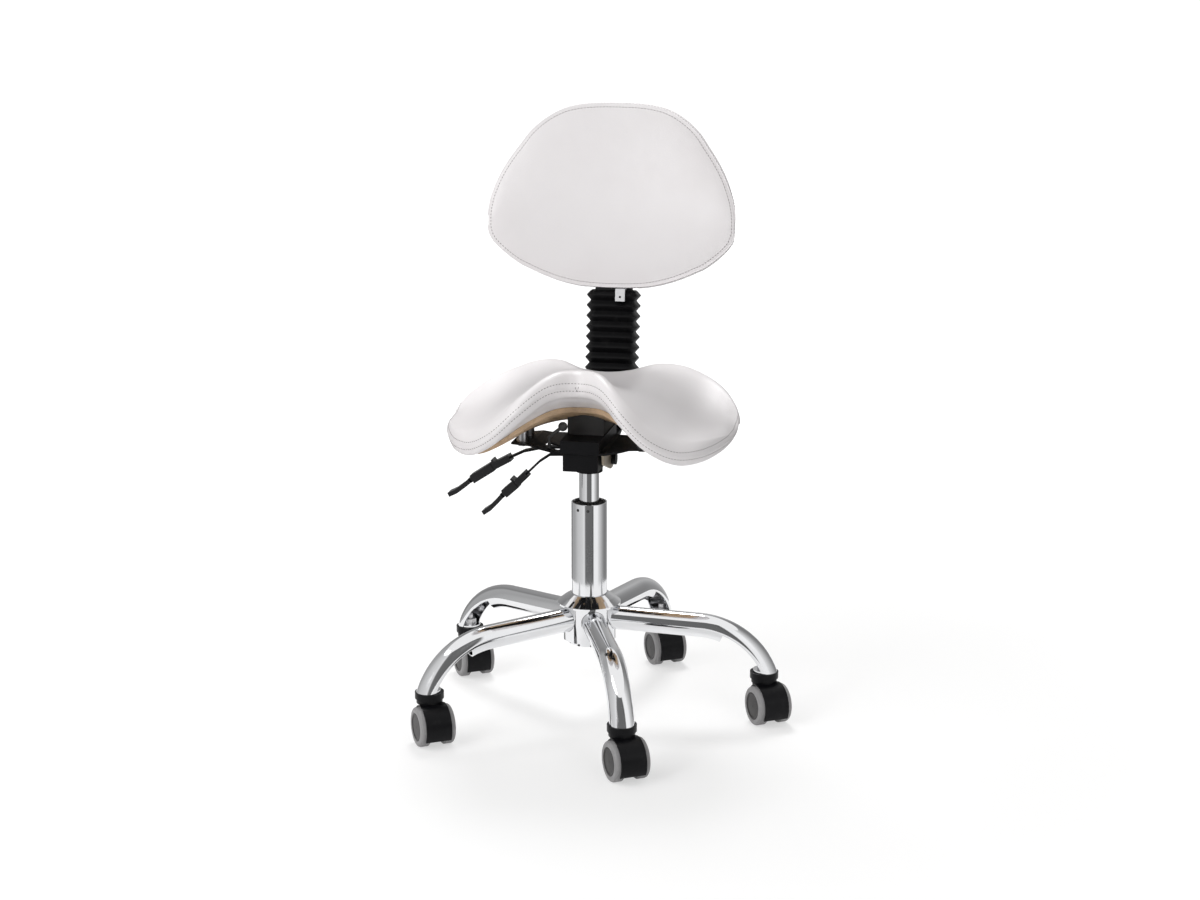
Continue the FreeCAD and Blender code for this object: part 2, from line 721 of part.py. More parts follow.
def make_lever(which, y):
    """One flat steel lever with a boss round its pivot pin."""
    width = S.lever_width.value
    body = strip(lever_path(which), S.lever_thick.value, y - width / 2, width)
    spot = V(S.lever_pivot_x.value, y - width / 2, S.lever_pivot_z.value)
    boss = Part.makeCylinder(S.lever_boss.value / 2, width, spot, V(0, 1, 0))
    hole = Part.makeCylinder(
        S.lever_pin.value / 2 + S.run_gap.value, width + 2, spot - V(0, 1, 0), V(0, 1, 0))
    shaped(body.fuse(boss).cut(hole).removeSplitter(), f"{which}_lever")


def make_grip(which, y):
    """Plastic sleeve over a lever, stepped twice and ending in a curved paddle."""
    path = lever_path(which)
    thick = S.grip_thick.value
    width = S.grip_width.value
    start, middle, end = path[-3], path[-2], path[-1]
    far = V(end[0] - middle[0], 0, end[1] - middle[1]).normalize()

    def beyond(distance, drop=0.0):
        return (end[0] + far.x * distance + far.z * drop, end[1] + far.z * distance - far.x * drop)

    first = strip([start, middle, end], thick, y - width / 2, width)
    second = strip([middle, end, beyond(2)], thick * 1.25, y - width * 0.56, width * 1.12)
    neck = strip([end, beyond(8)], thick * 0.7, y - width * 0.38, width * 0.76)
    paddle = strip(
        [beyond(6), beyond(18, -1.5), beyond(32, -2.5), beyond(44, -1)], thick * 0.62,
        y - width * 0.55, width * 1.1)
    tab_foot = V((start[0] + middle[0]) / 2, y, (start[1] + middle[1]) / 2)
    along = V(middle[0] - start[0], 0, middle[1] - start[1]).normalize()
    spot = tab_foot + along * 9
    upward = V(along.z, 0, -along.x)
    if upward.z < 0:
        upward = upward * -1
    tab = strip(
        [(spot.x, spot.z), (spot.x + upward.x * 12, spot.z + upward.z * 9)], 3, y - width / 2, width)
    grip = first.fuse([second, neck, paddle, tab])
    thickness = S.lever_thick.value + 2 * S.seat_gap.value
    room = S.lever_width.value + 2 * S.seat_gap.value
    core = strip(path, thickness, y - room / 2, room)
    shaped(grip.cut(core).removeSplitter(), f"{which}_grip")


# Seat plate

def make_seat_plate():
    """Pressed plate: a channel round the housing with a wing on each side."""
    lowest = saddle_section(
        S.wing_reach.value, S.shell_inset.value, shell_lift(), S.shell_thick.value).BoundBox.ZMin
    derive("wing_top", lowest - S.wing_gap.value, "floor to the top of the wing ends")
    half = S.tray_width / 2
    wall = S.tray_wall
    thick = S.plate_thick
    root = half + 7
    rise = S.wing_top - S.tray_bottom - thick
    flat = S.wing_reach - 28
    pieces = []
    for name, sign in (("Left", -1), ("Right", 1)):
        corners = [
            ((half - wall) * sign, S.tray_bottom), (root * sign, S.tray_bottom),
            (flat * sign, S.tray_bottom + rise), (S.wing_reach * sign, S.tray_bottom + rise),
            (S.wing_reach * sign, S.wing_top), (flat * sign, S.wing_top),
            (root * sign, S.tray_bottom + thick), (half * sign, S.tray_bottom + thick),
            (half * sign, S.tray_top), ((half - wall) * sign, S.tray_top),
        ]
        pieces.append(padded(f"Wing{name}", "XZ_Plane", corners, 140, midplane=True))
    front = block(
        "TrayFront", S.tray_width, wall, S.tray_top - S.tray_bottom,
        (-half, -S.box_front - 6, S.tray_bottom))
    back = block(
        "TrayBridge", S.tray_width, S.box_front + S.box_back + 34, thick,
        (-half, -S.box_front - 6, S.tray_top - thick))
    pressed = fuse("SeatPlatePressed", *pieces, front, back)
    reach = S.wing_reach + 1
    edge = -S.box_front - 6
    plan = [
        (half, edge), (half + 32, edge - 4), (reach, edge + 6), (reach, 6), (half + 30, 26),
        (half + 1, 58), (-half - 1, 58), (-half - 30, 26), (-reach, 6), (-reach, edge + 6),
        (-half - 32, edge - 4), (-half, edge),
    ]
    trim = padded("SeatPlatePlan", "XY_Plane", plan, 60, offset=S.tray_bottom - 10)
    trimmed = common("SeatPlateTrimmed", pressed, trim)
    holes = []
    for number, (x, y) in enumerate(bolt_spots(), start=1):
        holes.append(cylinder(
            f"WingHole{number}", S.bolt_diameter / 2 + S.seat_gap, 40, x=x, y=y, z=S.tray_bottom))
    notch_width = S.lever_width + 2 * S.lever_room
    notch = block(
        "LeverNotch", 28, notch_width, 8,
        (-half - 26, S.front_lever_y - notch_width / 2, S.tray_bottom - 1))
    finish(cut("SeatPlate", trimmed, notch, *holes), "seat_plate")


def bolt_spots():
    """Places of the four seat bolts."""
    return [(x, y) for x in (S.bolt_x, -S.bolt_x) for y in (S.bolt_front_y, S.bolt_back_y)]


def make_tilt_bracket():
    """Two lugs under the seat plate, bored for the tilt bolts."""
    inner = S.tray_width / 2 + S.free_gap
    behind = S.lever_width / 2 + 5
    eye = [
        (S.tilt_axis_y + 14, S.tray_bottom), (S.tilt_axis_y + 14, S.tilt_axis_z - 6),
        (S.tilt_axis_y + 7, S.tilt_axis_z - 13), (S.tilt_axis_y - 7, S.tilt_axis_z - 13),
    ]
    short = [
        (S.tilt_axis_y - 7, S.tilt_axis_z + 7), (behind, S.tilt_axis_z + 10), (behind, S.tray_bottom),
    ]
    full = [(-S.box_front + 14, S.tilt_axis_z + 4), (-S.box_front + 9, S.tray_bottom)]
    lugs = []
    for name, sign in (("Left", -1), ("Right", 1)):
        corners = eye + (full if sign > 0 else short)
        start = inner if sign > 0 else -inner - S.lug_thick
        lug = padded(f"Lug{name}", "YZ_Plane", corners, S.lug_thick, offset=start)
        bore = cylinder(
            f"LugBore{name}", S.tilt_pin / 2 + S.run_gap, S.lug_thick + 4, x=start - 2,
            y=S.tilt_axis_y, z=S.tilt_axis_z, axis=V(0, 1, 0), degrees=90)
        lugs.append(cut(f"LugBored{name}", lug, bore))
    thing = doc.addObject("Part::Compound", "TiltBracket")
    thing.Links = lugs
    finish(thing, "tilt_bracket")


def make_release_rod():
    """Bent adjusting rod with a round knob, over the left wing's root."""
    beside = -S.tray_width.value / 2
    radius = S.release_rod_width.value / 2
    ahead = S.front_lever_y.value - S.lever_width.value / 2 - S.lever_room.value - radius - 1
    low = V(beside - 16.7, ahead, S.tray_top.value + 3)
    high = V(beside + 2.3, ahead, S.tray_top.value + S.release_rise.value)
    axis = high - low
    rod = Part.makeCylinder(radius, axis.Length, low, axis)
    knob = Part.makeSphere(S.release_knob.value / 2, high)
    foot = Part.makeCylinder(radius, low.z - S.tray_bottom.value, V(low.x, low.y, S.tray_bottom.value))
    joint = Part.makeSphere(radius, low)
    rod = rod.fuse([knob, foot, joint])
    wing = doc.getObject("SeatPlate").Shape
    pieces = sorted(rod.cut(wing).Solids, key=lambda piece: -piece.BoundBox.ZMax)
    shaped(pieces[0].removeSplitter(), "release_rod")


def below_shell(shape):
    """What is left of a shape under the plywood shell."""
    under = shell_lift() + S.shell_thick.value + S.free_gap.value / 2
    rest = shape.cut(shell_solid(-80.0, under))
    return sorted(rest.Solids, key=lambda piece: piece.BoundBox.ZMin)[0]


def make_spacer():
    """Spacer block between the channel's bridge and the shell."""
    half = S.tray_width.value / 2 - 2
    low = V(-half, -24, S.tray_top.value)
    tall = Part.makeBox(2 * half, S.box_back.value + 50, 40, low)
    shaped(below_shell(tall), "spacer_block")


# Saddle: one section per half-span station, lofted along X

SADDLE = {
    "foot": 390.0,
    "span": (0.0, 0.17, 0.345, 0.517, 0.69, 0.837, 0.936, 1.0),
    "front": (-80, -104, -137, -139, -119, -88, -42, 14),
    "back": (130, 134, 158, 172, 168, 136, 96, 54),
    "front_seam": (489, 488, 463, 432, 411, 407, 409, 415),
    "middle": (471, 470.5, 465, 450, 434, 426, 423, 418),
    "back_seam": (456, 459, 465, 461, 450, 440, 431, 420),
}


class Spread:
    """A value that runs smoothly from the middle of a piece to its side."""

    def __init__(self, shares, values):
        self.turns = [math.asin(share) for share in shares]
        self.values = list(values)
        self.slopes = [0.0]
        for number in range(1, len(values) - 1):
            rise = values[number + 1] - values[number - 1]
            self.slopes.append(rise / (self.turns[number + 1] - self.turns[number - 1]))
        last = (values[-1] - values[-2]) / (self.turns[-1] - self.turns[-2])
        self.slopes.append(last * 0.5)

    def at(self, share):
        """The value at a share of the half width."""
        turn = math.asin(min(abs(share), 1.0))
        number = 0
        while number < len(self.turns) - 2 and turn > self.turns[number + 1]:
            number += 1
        gap = self.turns[number + 1] - self.turns[number]
        u = (turn - self.turns[number]) / gap
        low = self.values[number] * (1 + 2 * u) * (1 - u) ** 2
        high = self.values[number + 1] * u * u * (3 - 2 * u)
        leave = self.slopes[number] * gap * u * (1 - u) ** 2
        arrive = self.slopes[number + 1] * gap * u * u * (u - 1)
        return low + high + leave + arrive


SADDLE_LINES = {
    key: Spread(SADDLE["span"], SADDLE[key]) for key in SADDLE if key not in ("span", "foot")
}


def saddle_value(key, share):
    """One saddle value at a share of the half span."""
    value = SADDLE_LINES[key].at(share)
    if key in ("front", "back"):
        return value * S.saddle_depth.value / (max(SADDLE["back"]) - min(SADDLE["front"]))
    foot = SADDLE["foot"]
    return S.saddle_foot.value + (value - foot) * S.saddle_rise.value / (SADDLE["middle"][0] - foot)


def saddle_section(x, inset=0.0, lift=0.0, thick=None):
    """Closed section of the saddle at x: cushion, or a thinner shell below it."""
    half = S.seat_half_width.value
    share = min(abs(x) / half, 1.0)
    fullness = max(math.sqrt(max(1 - share ** 6, 0.0)), 0.16)
    front = saddle_value("front", share)
    back = saddle_value("back", share)
    front_seam = saddle_value("front_seam", share)
    back_seam = saddle_value("back_seam", share)
    middle = saddle_value("middle", share)
    drop = S.seat_edge_drop.value * fullness
    length = back - front
    tuck = 14 * fullness
    low_front = V(x, front + tuck, front_seam - drop)
    low_back = V(x, back - tuck, back_seam - drop)
    low_middle = V(x, (front + back) / 2, middle - S.seat_thick.value * fullness)
    under = Part.Arc(low_back, low_middle, low_front)
    if thick is not None:
        return shell_section(under, low_front, low_back, inset, lift, thick)
    nose = min(30 * fullness, 0.3 * length)
    tail = min(28 * fullness, 0.3 * length)
    crest_front = V(x, front + nose, front_seam + 17 * fullness)
    crest_back = V(x, back - tail, back_seam + 15 * fullness)
    seam_front = V(x, front, front_seam)
    seam_back = V(x, back, back_seam)
    edges = [
        Part.Arc(seam_front, V(x, front + nose * 0.25, front_seam + 12.2 * fullness), crest_front),
        Part.Arc(crest_front, V(x, (front + back) / 2, middle), crest_back),
        Part.Arc(crest_back, V(x, back - tail * 0.25, back_seam + 10.8 * fullness), seam_back),
        Part.Arc(seam_back, V(x, back - tuck * 0.29, back_seam - drop * 0.71), low_back),
        under,
        Part.Arc(low_front, V(x, front + tuck * 0.29, front_seam - drop * 0.71), seam_front),
    ]
    return Part.Wire([edge.toShape() for edge in edges])


def shell_section(under, low_front, low_back, inset, lift, thick):
    """Section of a shell that follows the cushion's underside."""
    curve = under.toShape()
    whole = curve.LastParameter - curve.FirstParameter
    share = inset / curve.Length
    first = curve.FirstParameter + whole * share
    last = curve.LastParameter - whole * share
    back, middle, front = [curve.valueAt(at) for at in (first, (first + last) / 2, last)]
    down = V(0, 0, -lift)
    deep = V(0, 0, -lift - thick)
    edges = [
        Part.Arc(back + down, middle + down, front + down).toShape(),
        Part.LineSegment(front + down, front + deep).toShape(),
        Part.Arc(front + deep, middle + deep, back + deep).toShape(),
        Part.LineSegment(back + deep, back + down).toShape(),
    ]
    return Part.Wire(edges)


def loft(sections):
    """A closed solid through sections, whichever way the loft turns it."""
    solid = Part.makeLoft(sections, True, False)
    if solid.Volume < 0:
        solid.reverse()
    return solid


def saddle_stations(edge_share):
    """Stations across the saddle, closer together towards its sides."""
    half = S.seat_half_width.value
    count = 17
    steps = [math.sin(math.radians(-90 + 180 * number / (count - 1))) for number in range(count)]
    return [half * edge_share * step for step in steps]


def make_cushion():
    """Saddle cushion: raised pommel, two thigh lobes and a dished middle."""
    sections = [saddle_section(x) for x in saddle_stations(1.0)]
    shaped(loft(sections), "seat_cushion")


def shell_solid(thick, lift):
    """Solid that follows the cushion's underside, from lift below it downwards."""
    inset = S.shell_inset.value
    stations = saddle_stations(1 - 1.4 * inset / S.seat_half_width.value)
    return loft([saddle_section(x, inset, lift, thick) for x in stations])


def shell_lift():
    """Gap between the cushion and the shell."""
    return S.free_gap.value * 2


def make_shell():
    """Moulded plywood shell with holes for the seat bolts."""
    solid = shell_solid(S.shell_thick.value, shell_lift())
    for x, y in bolt_spots():
        hole = Part.makeCylinder(
            S.bolt_diameter.value / 2 + S.seat_gap.value, S.seat_half_width.value,
            V(x.value, y.value, S.tray_bottom.value))
        solid = solid.cut(hole)
    shaped(solid, "seat_shell")


def make_seat_bolts():
    """Four hexagon bolts with spacers, from the wings up into the shell."""
    shell = shell_solid(S.shell_thick.value, shell_lift())
    bolts = []
    radius = S.bolt_diameter.value / 2
    under = S.wing_top.value - S.plate_thick.value
    for x, y in bolt_spots():
        spot = V(x.value, y.value, 0)
        probe = Part.makeLine(
            spot + UP * S.wing_top.value, spot + UP * (S.wing_top.value + S.seat_half_width.value))
        touch = sorted(vertex.Z for vertex in shell.common(probe).Vertexes)
        head = hexagon(S.bolt_diameter.value * 1.7, 4.0, spot + UP * (under - 4.0))
        shank = Part.makeCylinder(radius, touch[-1] - 1.5 - under, spot + UP * under)
        rubber = below_shell(Part.makeCylinder(
            radius * 2.6, touch[0] + 10 - S.wing_top.value, spot + UP * S.wing_top.value))
        bolts.append(head.fuse([shank, rubber]).removeSplitter())
    shaped(Part.makeCompound(bolts), "seat_bolts")


def hexagon(flats, height, spot):
    """A hexagonal prism."""
    radius = flats / math.sqrt(3)
    ring = [spot + V(radius * math.cos(math.radians(60 * k)), radius * math.sin(math.radians(60 * k)), 0)
            for k in range(6)]
    return Part.Face(Part.makePolygon(ring + [ring[0]])).extrude(UP * height)


# Back bar, boot, slider and backrest

def lean():
    """Unit vector up the leaning upright."""
    angle = math.radians(S.bar_lean.value)
    return V(0, math.sin(angle), math.cos(angle))


def upright(distance, ahead=0.0):
    """A point on the upright's centre line, with an offset towards the sitter."""
    along = lean()
    across = V(0, -along.z, along.y)
    foot = V(0, S.bar_foot_y.value, S.back_axis_z.value)
    return foot + along * distance + across * ahead


def on_upright(shape, distance=0.0):
    """Move a shape from the vertical axis onto the upright."""
    turn = FreeCAD.Rotation(V(1, 0, 0), -S.bar_lean.value)
    moved = shape.copy()
    moved.Placement = FreeCAD.Placement(upright(distance), turn)
    return moved


def make_back_bar():
    """Flat bar: an eye on the pivot pin, a level run, a bend and the upright."""
    thick = S.bar_thick.value
    eye = V(0, S.back_axis_y.value, S.back_axis_z.value)
    angle = math.radians(90 - S.bar_lean.value)
    inner = S.bar_bend.value
    outer = inner + thick
    corner = V(0, S.bar_foot_y.value, S.back_axis_z.value)
    setback = (inner + thick / 2) * math.tan(angle / 2)
    level = V(0, 1, 0)
    bend_start = corner - level * setback
    centre = bend_start + UP * (inner + thick / 2)
    half_turn = angle / 2

    def on_bend(radius, turn):
        return centre + V(0, radius * math.sin(turn), -radius * math.cos(turn))

    top = upright(S.bar_length.value)
    across = V(0, -lean().z, lean().y)
    edges = [
        Part.LineSegment(eye - UP * thick / 2, on_bend(outer, 0)),
        Part.Arc(on_bend(outer, 0), on_bend(outer, half_turn), on_bend(outer, angle)),
        Part.LineSegment(on_bend(outer, angle), top - across * thick / 2),
        Part.LineSegment(top - across * thick / 2, top + across * thick / 2),
        Part.LineSegment(top + across * thick / 2, on_bend(inner, angle)),
        Part.Arc(on_bend(inner, angle), on_bend(inner, half_turn), on_bend(inner, 0)),
        Part.LineSegment(on_bend(inner, 0), eye + UP * thick / 2),
        Part.LineSegment(eye + UP * thick / 2, eye - UP * thick / 2),
    ]
    face = Part.Face(Part.Wire([edge.toShape() for edge in edges]))
    half = S.bar_width.value / 2
    bar = face.extrude(V(2 * half, 0, 0))
    bar.translate(V(-half, 0, 0))
    eye_half = S.box_width.value / 2 - S.box_wall.value - S.free_gap.value
    tube = Part.makeCylinder(S.eye_diameter.value / 2, 2 * eye_half, eye - V(eye_half, 0, 0), V(1, 0, 0))
    bore = Part.makeCylinder(
        S.back_pin_diameter.value / 2 + S.run_gap.value, 4 * eye_half, eye - V(2 * eye_half, 0, 0),
        V(1, 0, 0))
    shaped(bar.fuse(tube).cut(bore).removeSplitter(), "back_bar")


def rounded_ring(width, depth, radius, height):
    """A rounded rectangle as a wire at a height."""
    x = width / 2 - radius
    y = depth / 2 - radius
    k = radius * math.sqrt(0.5)
    corners = [(x, y, 1, 1), (-x, y, -1, 1), (-x, -y, -1, -1), (x, -y, 1, -1)]
    edges = []
    for number, (cx, cy, sx, sy) in enumerate(corners):
        across = V(cx + radius * sx, cy, height)
        along = V(cx, cy + radius * sy, height)
        middle = V(cx + k * sx, cy + k * sy, height)
        first, last = (across, along) if number % 2 == 0 else (along, across)
        edges.append(Part.Arc(first, middle, last).toShape())
        nx, ny, tx, ty = corners[(number + 1) % 4]
        start = V(nx, ny + radius * ty, height) if number % 2 == 0 else V(nx + radius * tx, ny, height)
        edges.append(Part.LineSegment(last, start).toShape())
    return Part.Wire(edges)


def make_boot():
    """Ribbed rubber boot round the upright, slotted for the bar and for the slider."""
    pitch = S.rib_pitch.value
    ribs = int(S.boot_ribs.value)
    deep = S.rib_depth.value
    width = S.boot_width.value
    depth = S.boot_depth.value
    wall = S.boot_wall.value
    sections = []
    for rib in range(ribs):
        for share, inset in ((0.0, deep), (0.3, deep * 0.35), (0.5, 0.0), (0.7, deep * 0.35)):
            sections.append(rounded_ring(
                width - 2 * inset, depth - 2 * inset, S.boot_corner.value - inset,
                pitch * (rib + share)))
    neck = (width - 2 * deep, depth - 2 * deep, S.boot_corner.value - deep)
    sections.append(rounded_ring(*neck, pitch * ribs))
    solid = Part.makeLoft(sections, True, True)
    bore = Part.Face(rounded_ring(neck[0] - 2 * wall, neck[1] - 2 * wall, neck[2] - wall, 2 * wall))
    bore = bore.extrude(UP * (pitch * ribs - 3 * wall))
    gap = S.free_gap.value
    bar_slot = centred_box(S.bar_width.value + 2 * gap, S.bar_thick.value + 2 * gap, pitch, -1)
    sleeve_slot = centred_box(
        S.slider_width.value + 2 * gap, S.slider_depth.value + 2 * gap, pitch,
        pitch * ribs - 2 * wall)
    solid = solid.cut(bore).cut(bar_slot).cut(sleeve_slot)
    shaped(on_upright(solid, S.boot_start.value), "bellows")


def centred_box(x, y, z, low):
    """A box round the vertical axis, from low upwards."""
    return Part.makeBox(x, y, z, V(-x / 2, -y / 2, low))


def boot_top():
    """Upper end of the boot, along the upright."""
    return S.boot_start.value + S.rib_pitch.value * S.boot_ribs.value


def pocket_floor():
    """Floor of the backrest's pocket, behind the bar's centre plane when positive."""
    return -S.slider_depth.value / 2 - S.mount_thick.value - S.free_gap.value


def make_slider():
    """Slider sleeve on the bar, with the plate that the backrest is screwed to."""
    start = boot_top() - S.slider_tuck.value
    sleeve = centred_box(S.slider_width.value, S.slider_depth.value, S.slider_length.value, start)
    width = S.pocket_width.value - 2 * S.mount_margin.value
    tall = S.pocket_height.value - 2 * S.mount_margin.value
    plate = Part.makeBox(
        width, S.mount_thick.value + 0.5, tall,
        V(-width / 2, pocket_floor() + S.free_gap.value, S.back_bottom.value + S.mount_margin.value))
    slot = centred_box(
        S.bar_width.value + 2 * S.slide_gap.value, S.bar_thick.value + 2 * S.slide_gap.value,
        2 * S.bar_length.value, 0)
    solid = sleeve.fuse(plate).cut(slot).removeSplitter()
    shaped(on_upright(solid), "back_slider")


# Backrest: sections across its width, in the upright's own frame

BACK = {
    "span": (0.0, 0.25, 0.42, 0.56, 0.68, 0.75, 0.89, 0.97, 1.0),
    "top": (266, 264, 257, 243, 223.5, 206, 165, 124, 101),
    "bottom": (0, 2, 8, 17.5, 29, 36, 57, 74, 84),
}

BACK_LINES = {key: Spread(BACK["span"], BACK[key]) for key in BACK if key != "span"}


def back_section(x):
    """Closed section of the backrest at x: crowned front, band, rounded rear."""
    half = S.back_half_width.value
    share = min(abs(x) / half, 1.0)
    fullness = max(math.sqrt(max(1 - share ** 6, 0.0)), 0.2)
    base = S.back_bottom.value
    scale = S.back_height.value / BACK["top"][0]
    top = base + BACK_LINES["top"].at(share) * scale
    low = base + BACK_LINES["bottom"].at(share) * scale
    front = -S.back_ahead.value - S.back_wrap.value * share * share
    tall = top - low
    crown = S.back_crown.value * fullness
    deep = S.back_thick.value * fullness
    soft = min(S.back_round.value * fullness, 0.3 * tall)
    bulge = min(S.back_edge_swell.value * fullness, 0.03 * tall)
    rear = front + deep
    shoulder = rear - soft
    k = soft * (1 - math.sqrt(0.5))
    swell = min(3.0 * fullness, 0.04 * tall)
    spots = {
        "front_low": V(x, front, low),
        "front_top": V(x, front, top),
        "side_top": V(x, shoulder, top),
        "rear_top": V(x, rear, top - soft),
        "rear_low": V(x, rear, low + soft),
        "side_low": V(x, shoulder, low),
    }
    middle = (top + low) / 2
    turns = [
        ("front_low", V(x, front - crown, middle), "front_top"),
        ("front_top", V(x, (front + shoulder) / 2, top + bulge), "side_top"),
        ("side_top", V(x, rear - k, top - k), "rear_top"),
        ("rear_top", V(x, rear + swell, middle), "rear_low"),
        ("rear_low", V(x, rear - k, low + k), "side_low"),
        ("side_low", V(x, (front + shoulder) / 2, low - bulge), "front_low"),
    ]
    edges = [Part.Arc(spots[first], through, spots[last]) for first, through, last in turns]
    return Part.Wire([edge.toShape() for edge in edges])


def make_back_cushion():
    """Backrest cushion: crowned front, wrapped sides and a pocket for the slider."""
    half = S.back_half_width.value
    count = 17
    turns = [math.radians(-90 + 180 * number / (count - 1)) for number in range(count)]
    solid = loft([back_section(half * math.sin(turn)) for turn in turns])
    margin = 60
    deep = S.slider_depth.value / 2 + S.free_gap.value - pocket_floor()
    pocket = Part.makeBox(
        S.pocket_width.value, deep, S.pocket_height.value + margin,
        V(-S.pocket_width.value / 2, pocket_floor(), S.back_bottom.value - margin))
    shaped(on_upright(solid.cut(pocket)), "back_cushion")


def make_tab():
    """Bent metal tab: drops in front of the boot and runs back under the backrest."""
    width = S.tab_width.value
    thick = S.tab_thick.value
    front = -S.boot_depth.value / 2 - thick - 2 * S.free_gap.value
    top = S.back_bottom.value - S.back_edge_swell.value - S.free_gap.value
    low = top - S.tab_drop.value
    rear = pocket_floor() + S.free_gap.value
    height = S.back_bottom.value + S.mount_margin.value
    corners = [
        (front, low), (front + thick, low), (front + thick, top - thick),
        (rear + thick, top - thick), (rear + thick, height), (rear, height), (rear, top), (front, top),
    ]
    ring = [V(0, y, z) for y, z in corners]
    tab = Part.Face(Part.makePolygon(ring + [ring[0]])).extrude(V(width, 0, 0))
    tab.translate(V(S.tab_x.value - width / 2, 0, 0))
    spot = V(S.tab_x.value, front - 1, low + width * 0.45)
    tab = tab.cut(Part.makeCylinder(1.6, thick + 2, spot, V(0, 1, 0)))
    shaped(on_upright(tab.removeSplitter()), "back_tab")


# Casters

def axle_height():
    """Floor to the caster axles."""
    return S.wheel_diameter.value / 2


def hood_solid():
    """Caster hood with its web, collar and axle; stem on Z, axle along X behind it."""
    trail = -S.caster_trail.value
    height = axle_height()
    tyre = S.wheel_diameter.value / 2
    inner = tyre + S.hood_gap.value
    outer = inner + S.hood_wall.value
    half = S.web_width.value / 2
    hood_half = S.hood_width.value / 2
    across = V(1, 0, 0)
    top = S.caster_height.value
    throat = S.throat_diameter.value / 2

    def disc(radius, wide):
        return Part.makeCylinder(radius, 2 * wide, V(-wide, trail, height), across)

    fender = disc(outer, hood_half).cut(disc(inner, hood_half + 1))
    far = 3 * tyre
    under = Part.makeBox(2 * far, 2 * far, far, V(-far, trail - far, S.barrel_trim.value - 8 - far))
    ahead = Part.makeBox(2 * far, far, height + 6, V(-far, trail, -1))
    fender = fender.cut(under).cut(ahead)
    web = disc(inner + S.hood_wall.value / 2, half)
    stem_web = Part.makeBox(2 * half, throat - 1, top - 12 - height, V(-half, 0, height))
    web = web.fuse(stem_web)
    web = web.cut(Part.makeBox(2 * far, 2 * far, far, V(-far, trail - far, S.barrel_trim.value - far)))
    neck_low = height + inner + S.hood_wall.value * 0.3
    neck = Part.makeCylinder(throat, top - neck_low, V(0, 0, neck_low))
    collar = Part.makeCylinder(S.neck_diameter.value / 2, S.neck_drop.value, V(0, 0, top - S.neck_drop.value))
    pin_half = half + S.wheel_gap.value + S.wheel_width.value - 2.5
    axle = disc(S.axle_diameter.value / 2, pin_half)
    hood = fender.fuse([web, neck, collar, axle])
    bore = Part.makeCylinder(
        S.stem_diameter.value / 2 + S.run_gap.value, 100,
        V(0, 0, top - S.stem_depth.value - S.free_gap.value))
    return hood.cut(bore).removeSplitter()


def wheel_profile(corners):
    """A solid turned about the axle from (radius, along) corners."""
    ring = [V(along, 0, radius) for radius, along in corners]
    face = Part.Face(Part.makePolygon(ring + [ring[0]]))
    return face.revolve(V(), V(1, 0, 0), 360)


def wheel_solid():
    """Wheel core: bored from its inner face, with a dished outer face."""
    width = S.wheel_width.value
    core = S.wheel_diameter.value / 2 - S.tyre_depth.value
    bore = S.axle_diameter.value / 2 + S.run_gap.value
    deep = width - 2.0
    return wheel_profile([
        (bore, 0), (core, 0), (core, width - 0.6), (core - 2, width), (core - 4, width - 0.8),
        (0, width - 0.2), (0, deep), (bore, deep)])


def tyre_solid():
    """Tyre ring with rounded shoulders."""
    width = S.wheel_width.value
    outer = S.wheel_diameter.value / 2
    inner = outer - S.tyre_depth.value + S.run_gap.value
    turn = S.tyre_round.value
    k = turn * (1 - math.sqrt(0.5))
    spots = [V(0, 0, inner), V(0, 0, outer - 1.5), V(1.5, 0, outer), V(width - turn, 0, outer),
             V(width, 0, outer - turn), V(width, 0, inner)]
    edges = [
        Part.LineSegment(spots[0], spots[1]), Part.LineSegment(spots[1], spots[2]),
        Part.LineSegment(spots[2], spots[3]),
        Part.Arc(spots[3], V(width - k, 0, outer - k), spots[4]),
        Part.LineSegment(spots[4], spots[5]), Part.LineSegment(spots[5], spots[0]),
    ]
    face = Part.Face(Part.Wire([edge.toShape() for edge in edges]))
    return face.revolve(V(), V(1, 0, 0), 360)


def make_casters():
    """A hooded twin-wheel caster under each arm."""
    hood = hood_solid()
    wheel = wheel_solid()
    tyre = tyre_solid()
    inner_face = S.web_width.value / 2 + S.wheel_gap.value
    turn = heading(S.caster_turn.value)
    for number, degrees in enumerate(arm_headings(), start=1):
        stem = radial(degrees, S.caster_circle.value)
        shaped(hood, f"caster_hood_{number}", FreeCAD.Placement(stem, turn))
        for side, flip in (("left", 180), ("right", 0)):
            across = turn.multVec(V(inner_face if flip == 0 else -inner_face, -S.caster_trail.value, 0))
            spot = stem + across + UP * axle_height()
            facing = turn.multiply(FreeCAD.Rotation(UP, flip))
            place_wheel = FreeCAD.Placement(spot, facing)
            shaped(wheel, f"wheel_{number}_{side}", place_wheel)
            shaped(tyre, f"tyre_{number}_{side}", place_wheel)


def make_stems():
    """Caster stems through the arm plates, with a nut on each."""
    end = arm_end_height()
    radius = S.stem_diameter.value / 2
    low = S.caster_height.value - S.stem_depth.value
    high = end + S.arm_plate.value + S.stem_rise.value
    stems = []
    nuts = []
    for degrees in arm_headings():
        spot = radial(degrees, S.caster_circle.value)
        stem = Part.makeCylinder(radius, high - low, spot + UP * low)
        stems.append(stem)
        nut_low = end + S.arm_plate.value
        nut = hexagon(S.nut_width.value, S.nut_height.value, spot + UP * nut_low)
        bore = Part.makeCylinder(
            radius + S.run_gap.value, 3 * S.nut_height.value, spot + UP * (nut_low - S.nut_height.value))
        nut = nut.cut(bore)
        nuts.append(nut)
    shaped(Part.makeCompound(stems), "caster_stems")
    shaped(Part.makeCompound(nuts), "stem_nuts")


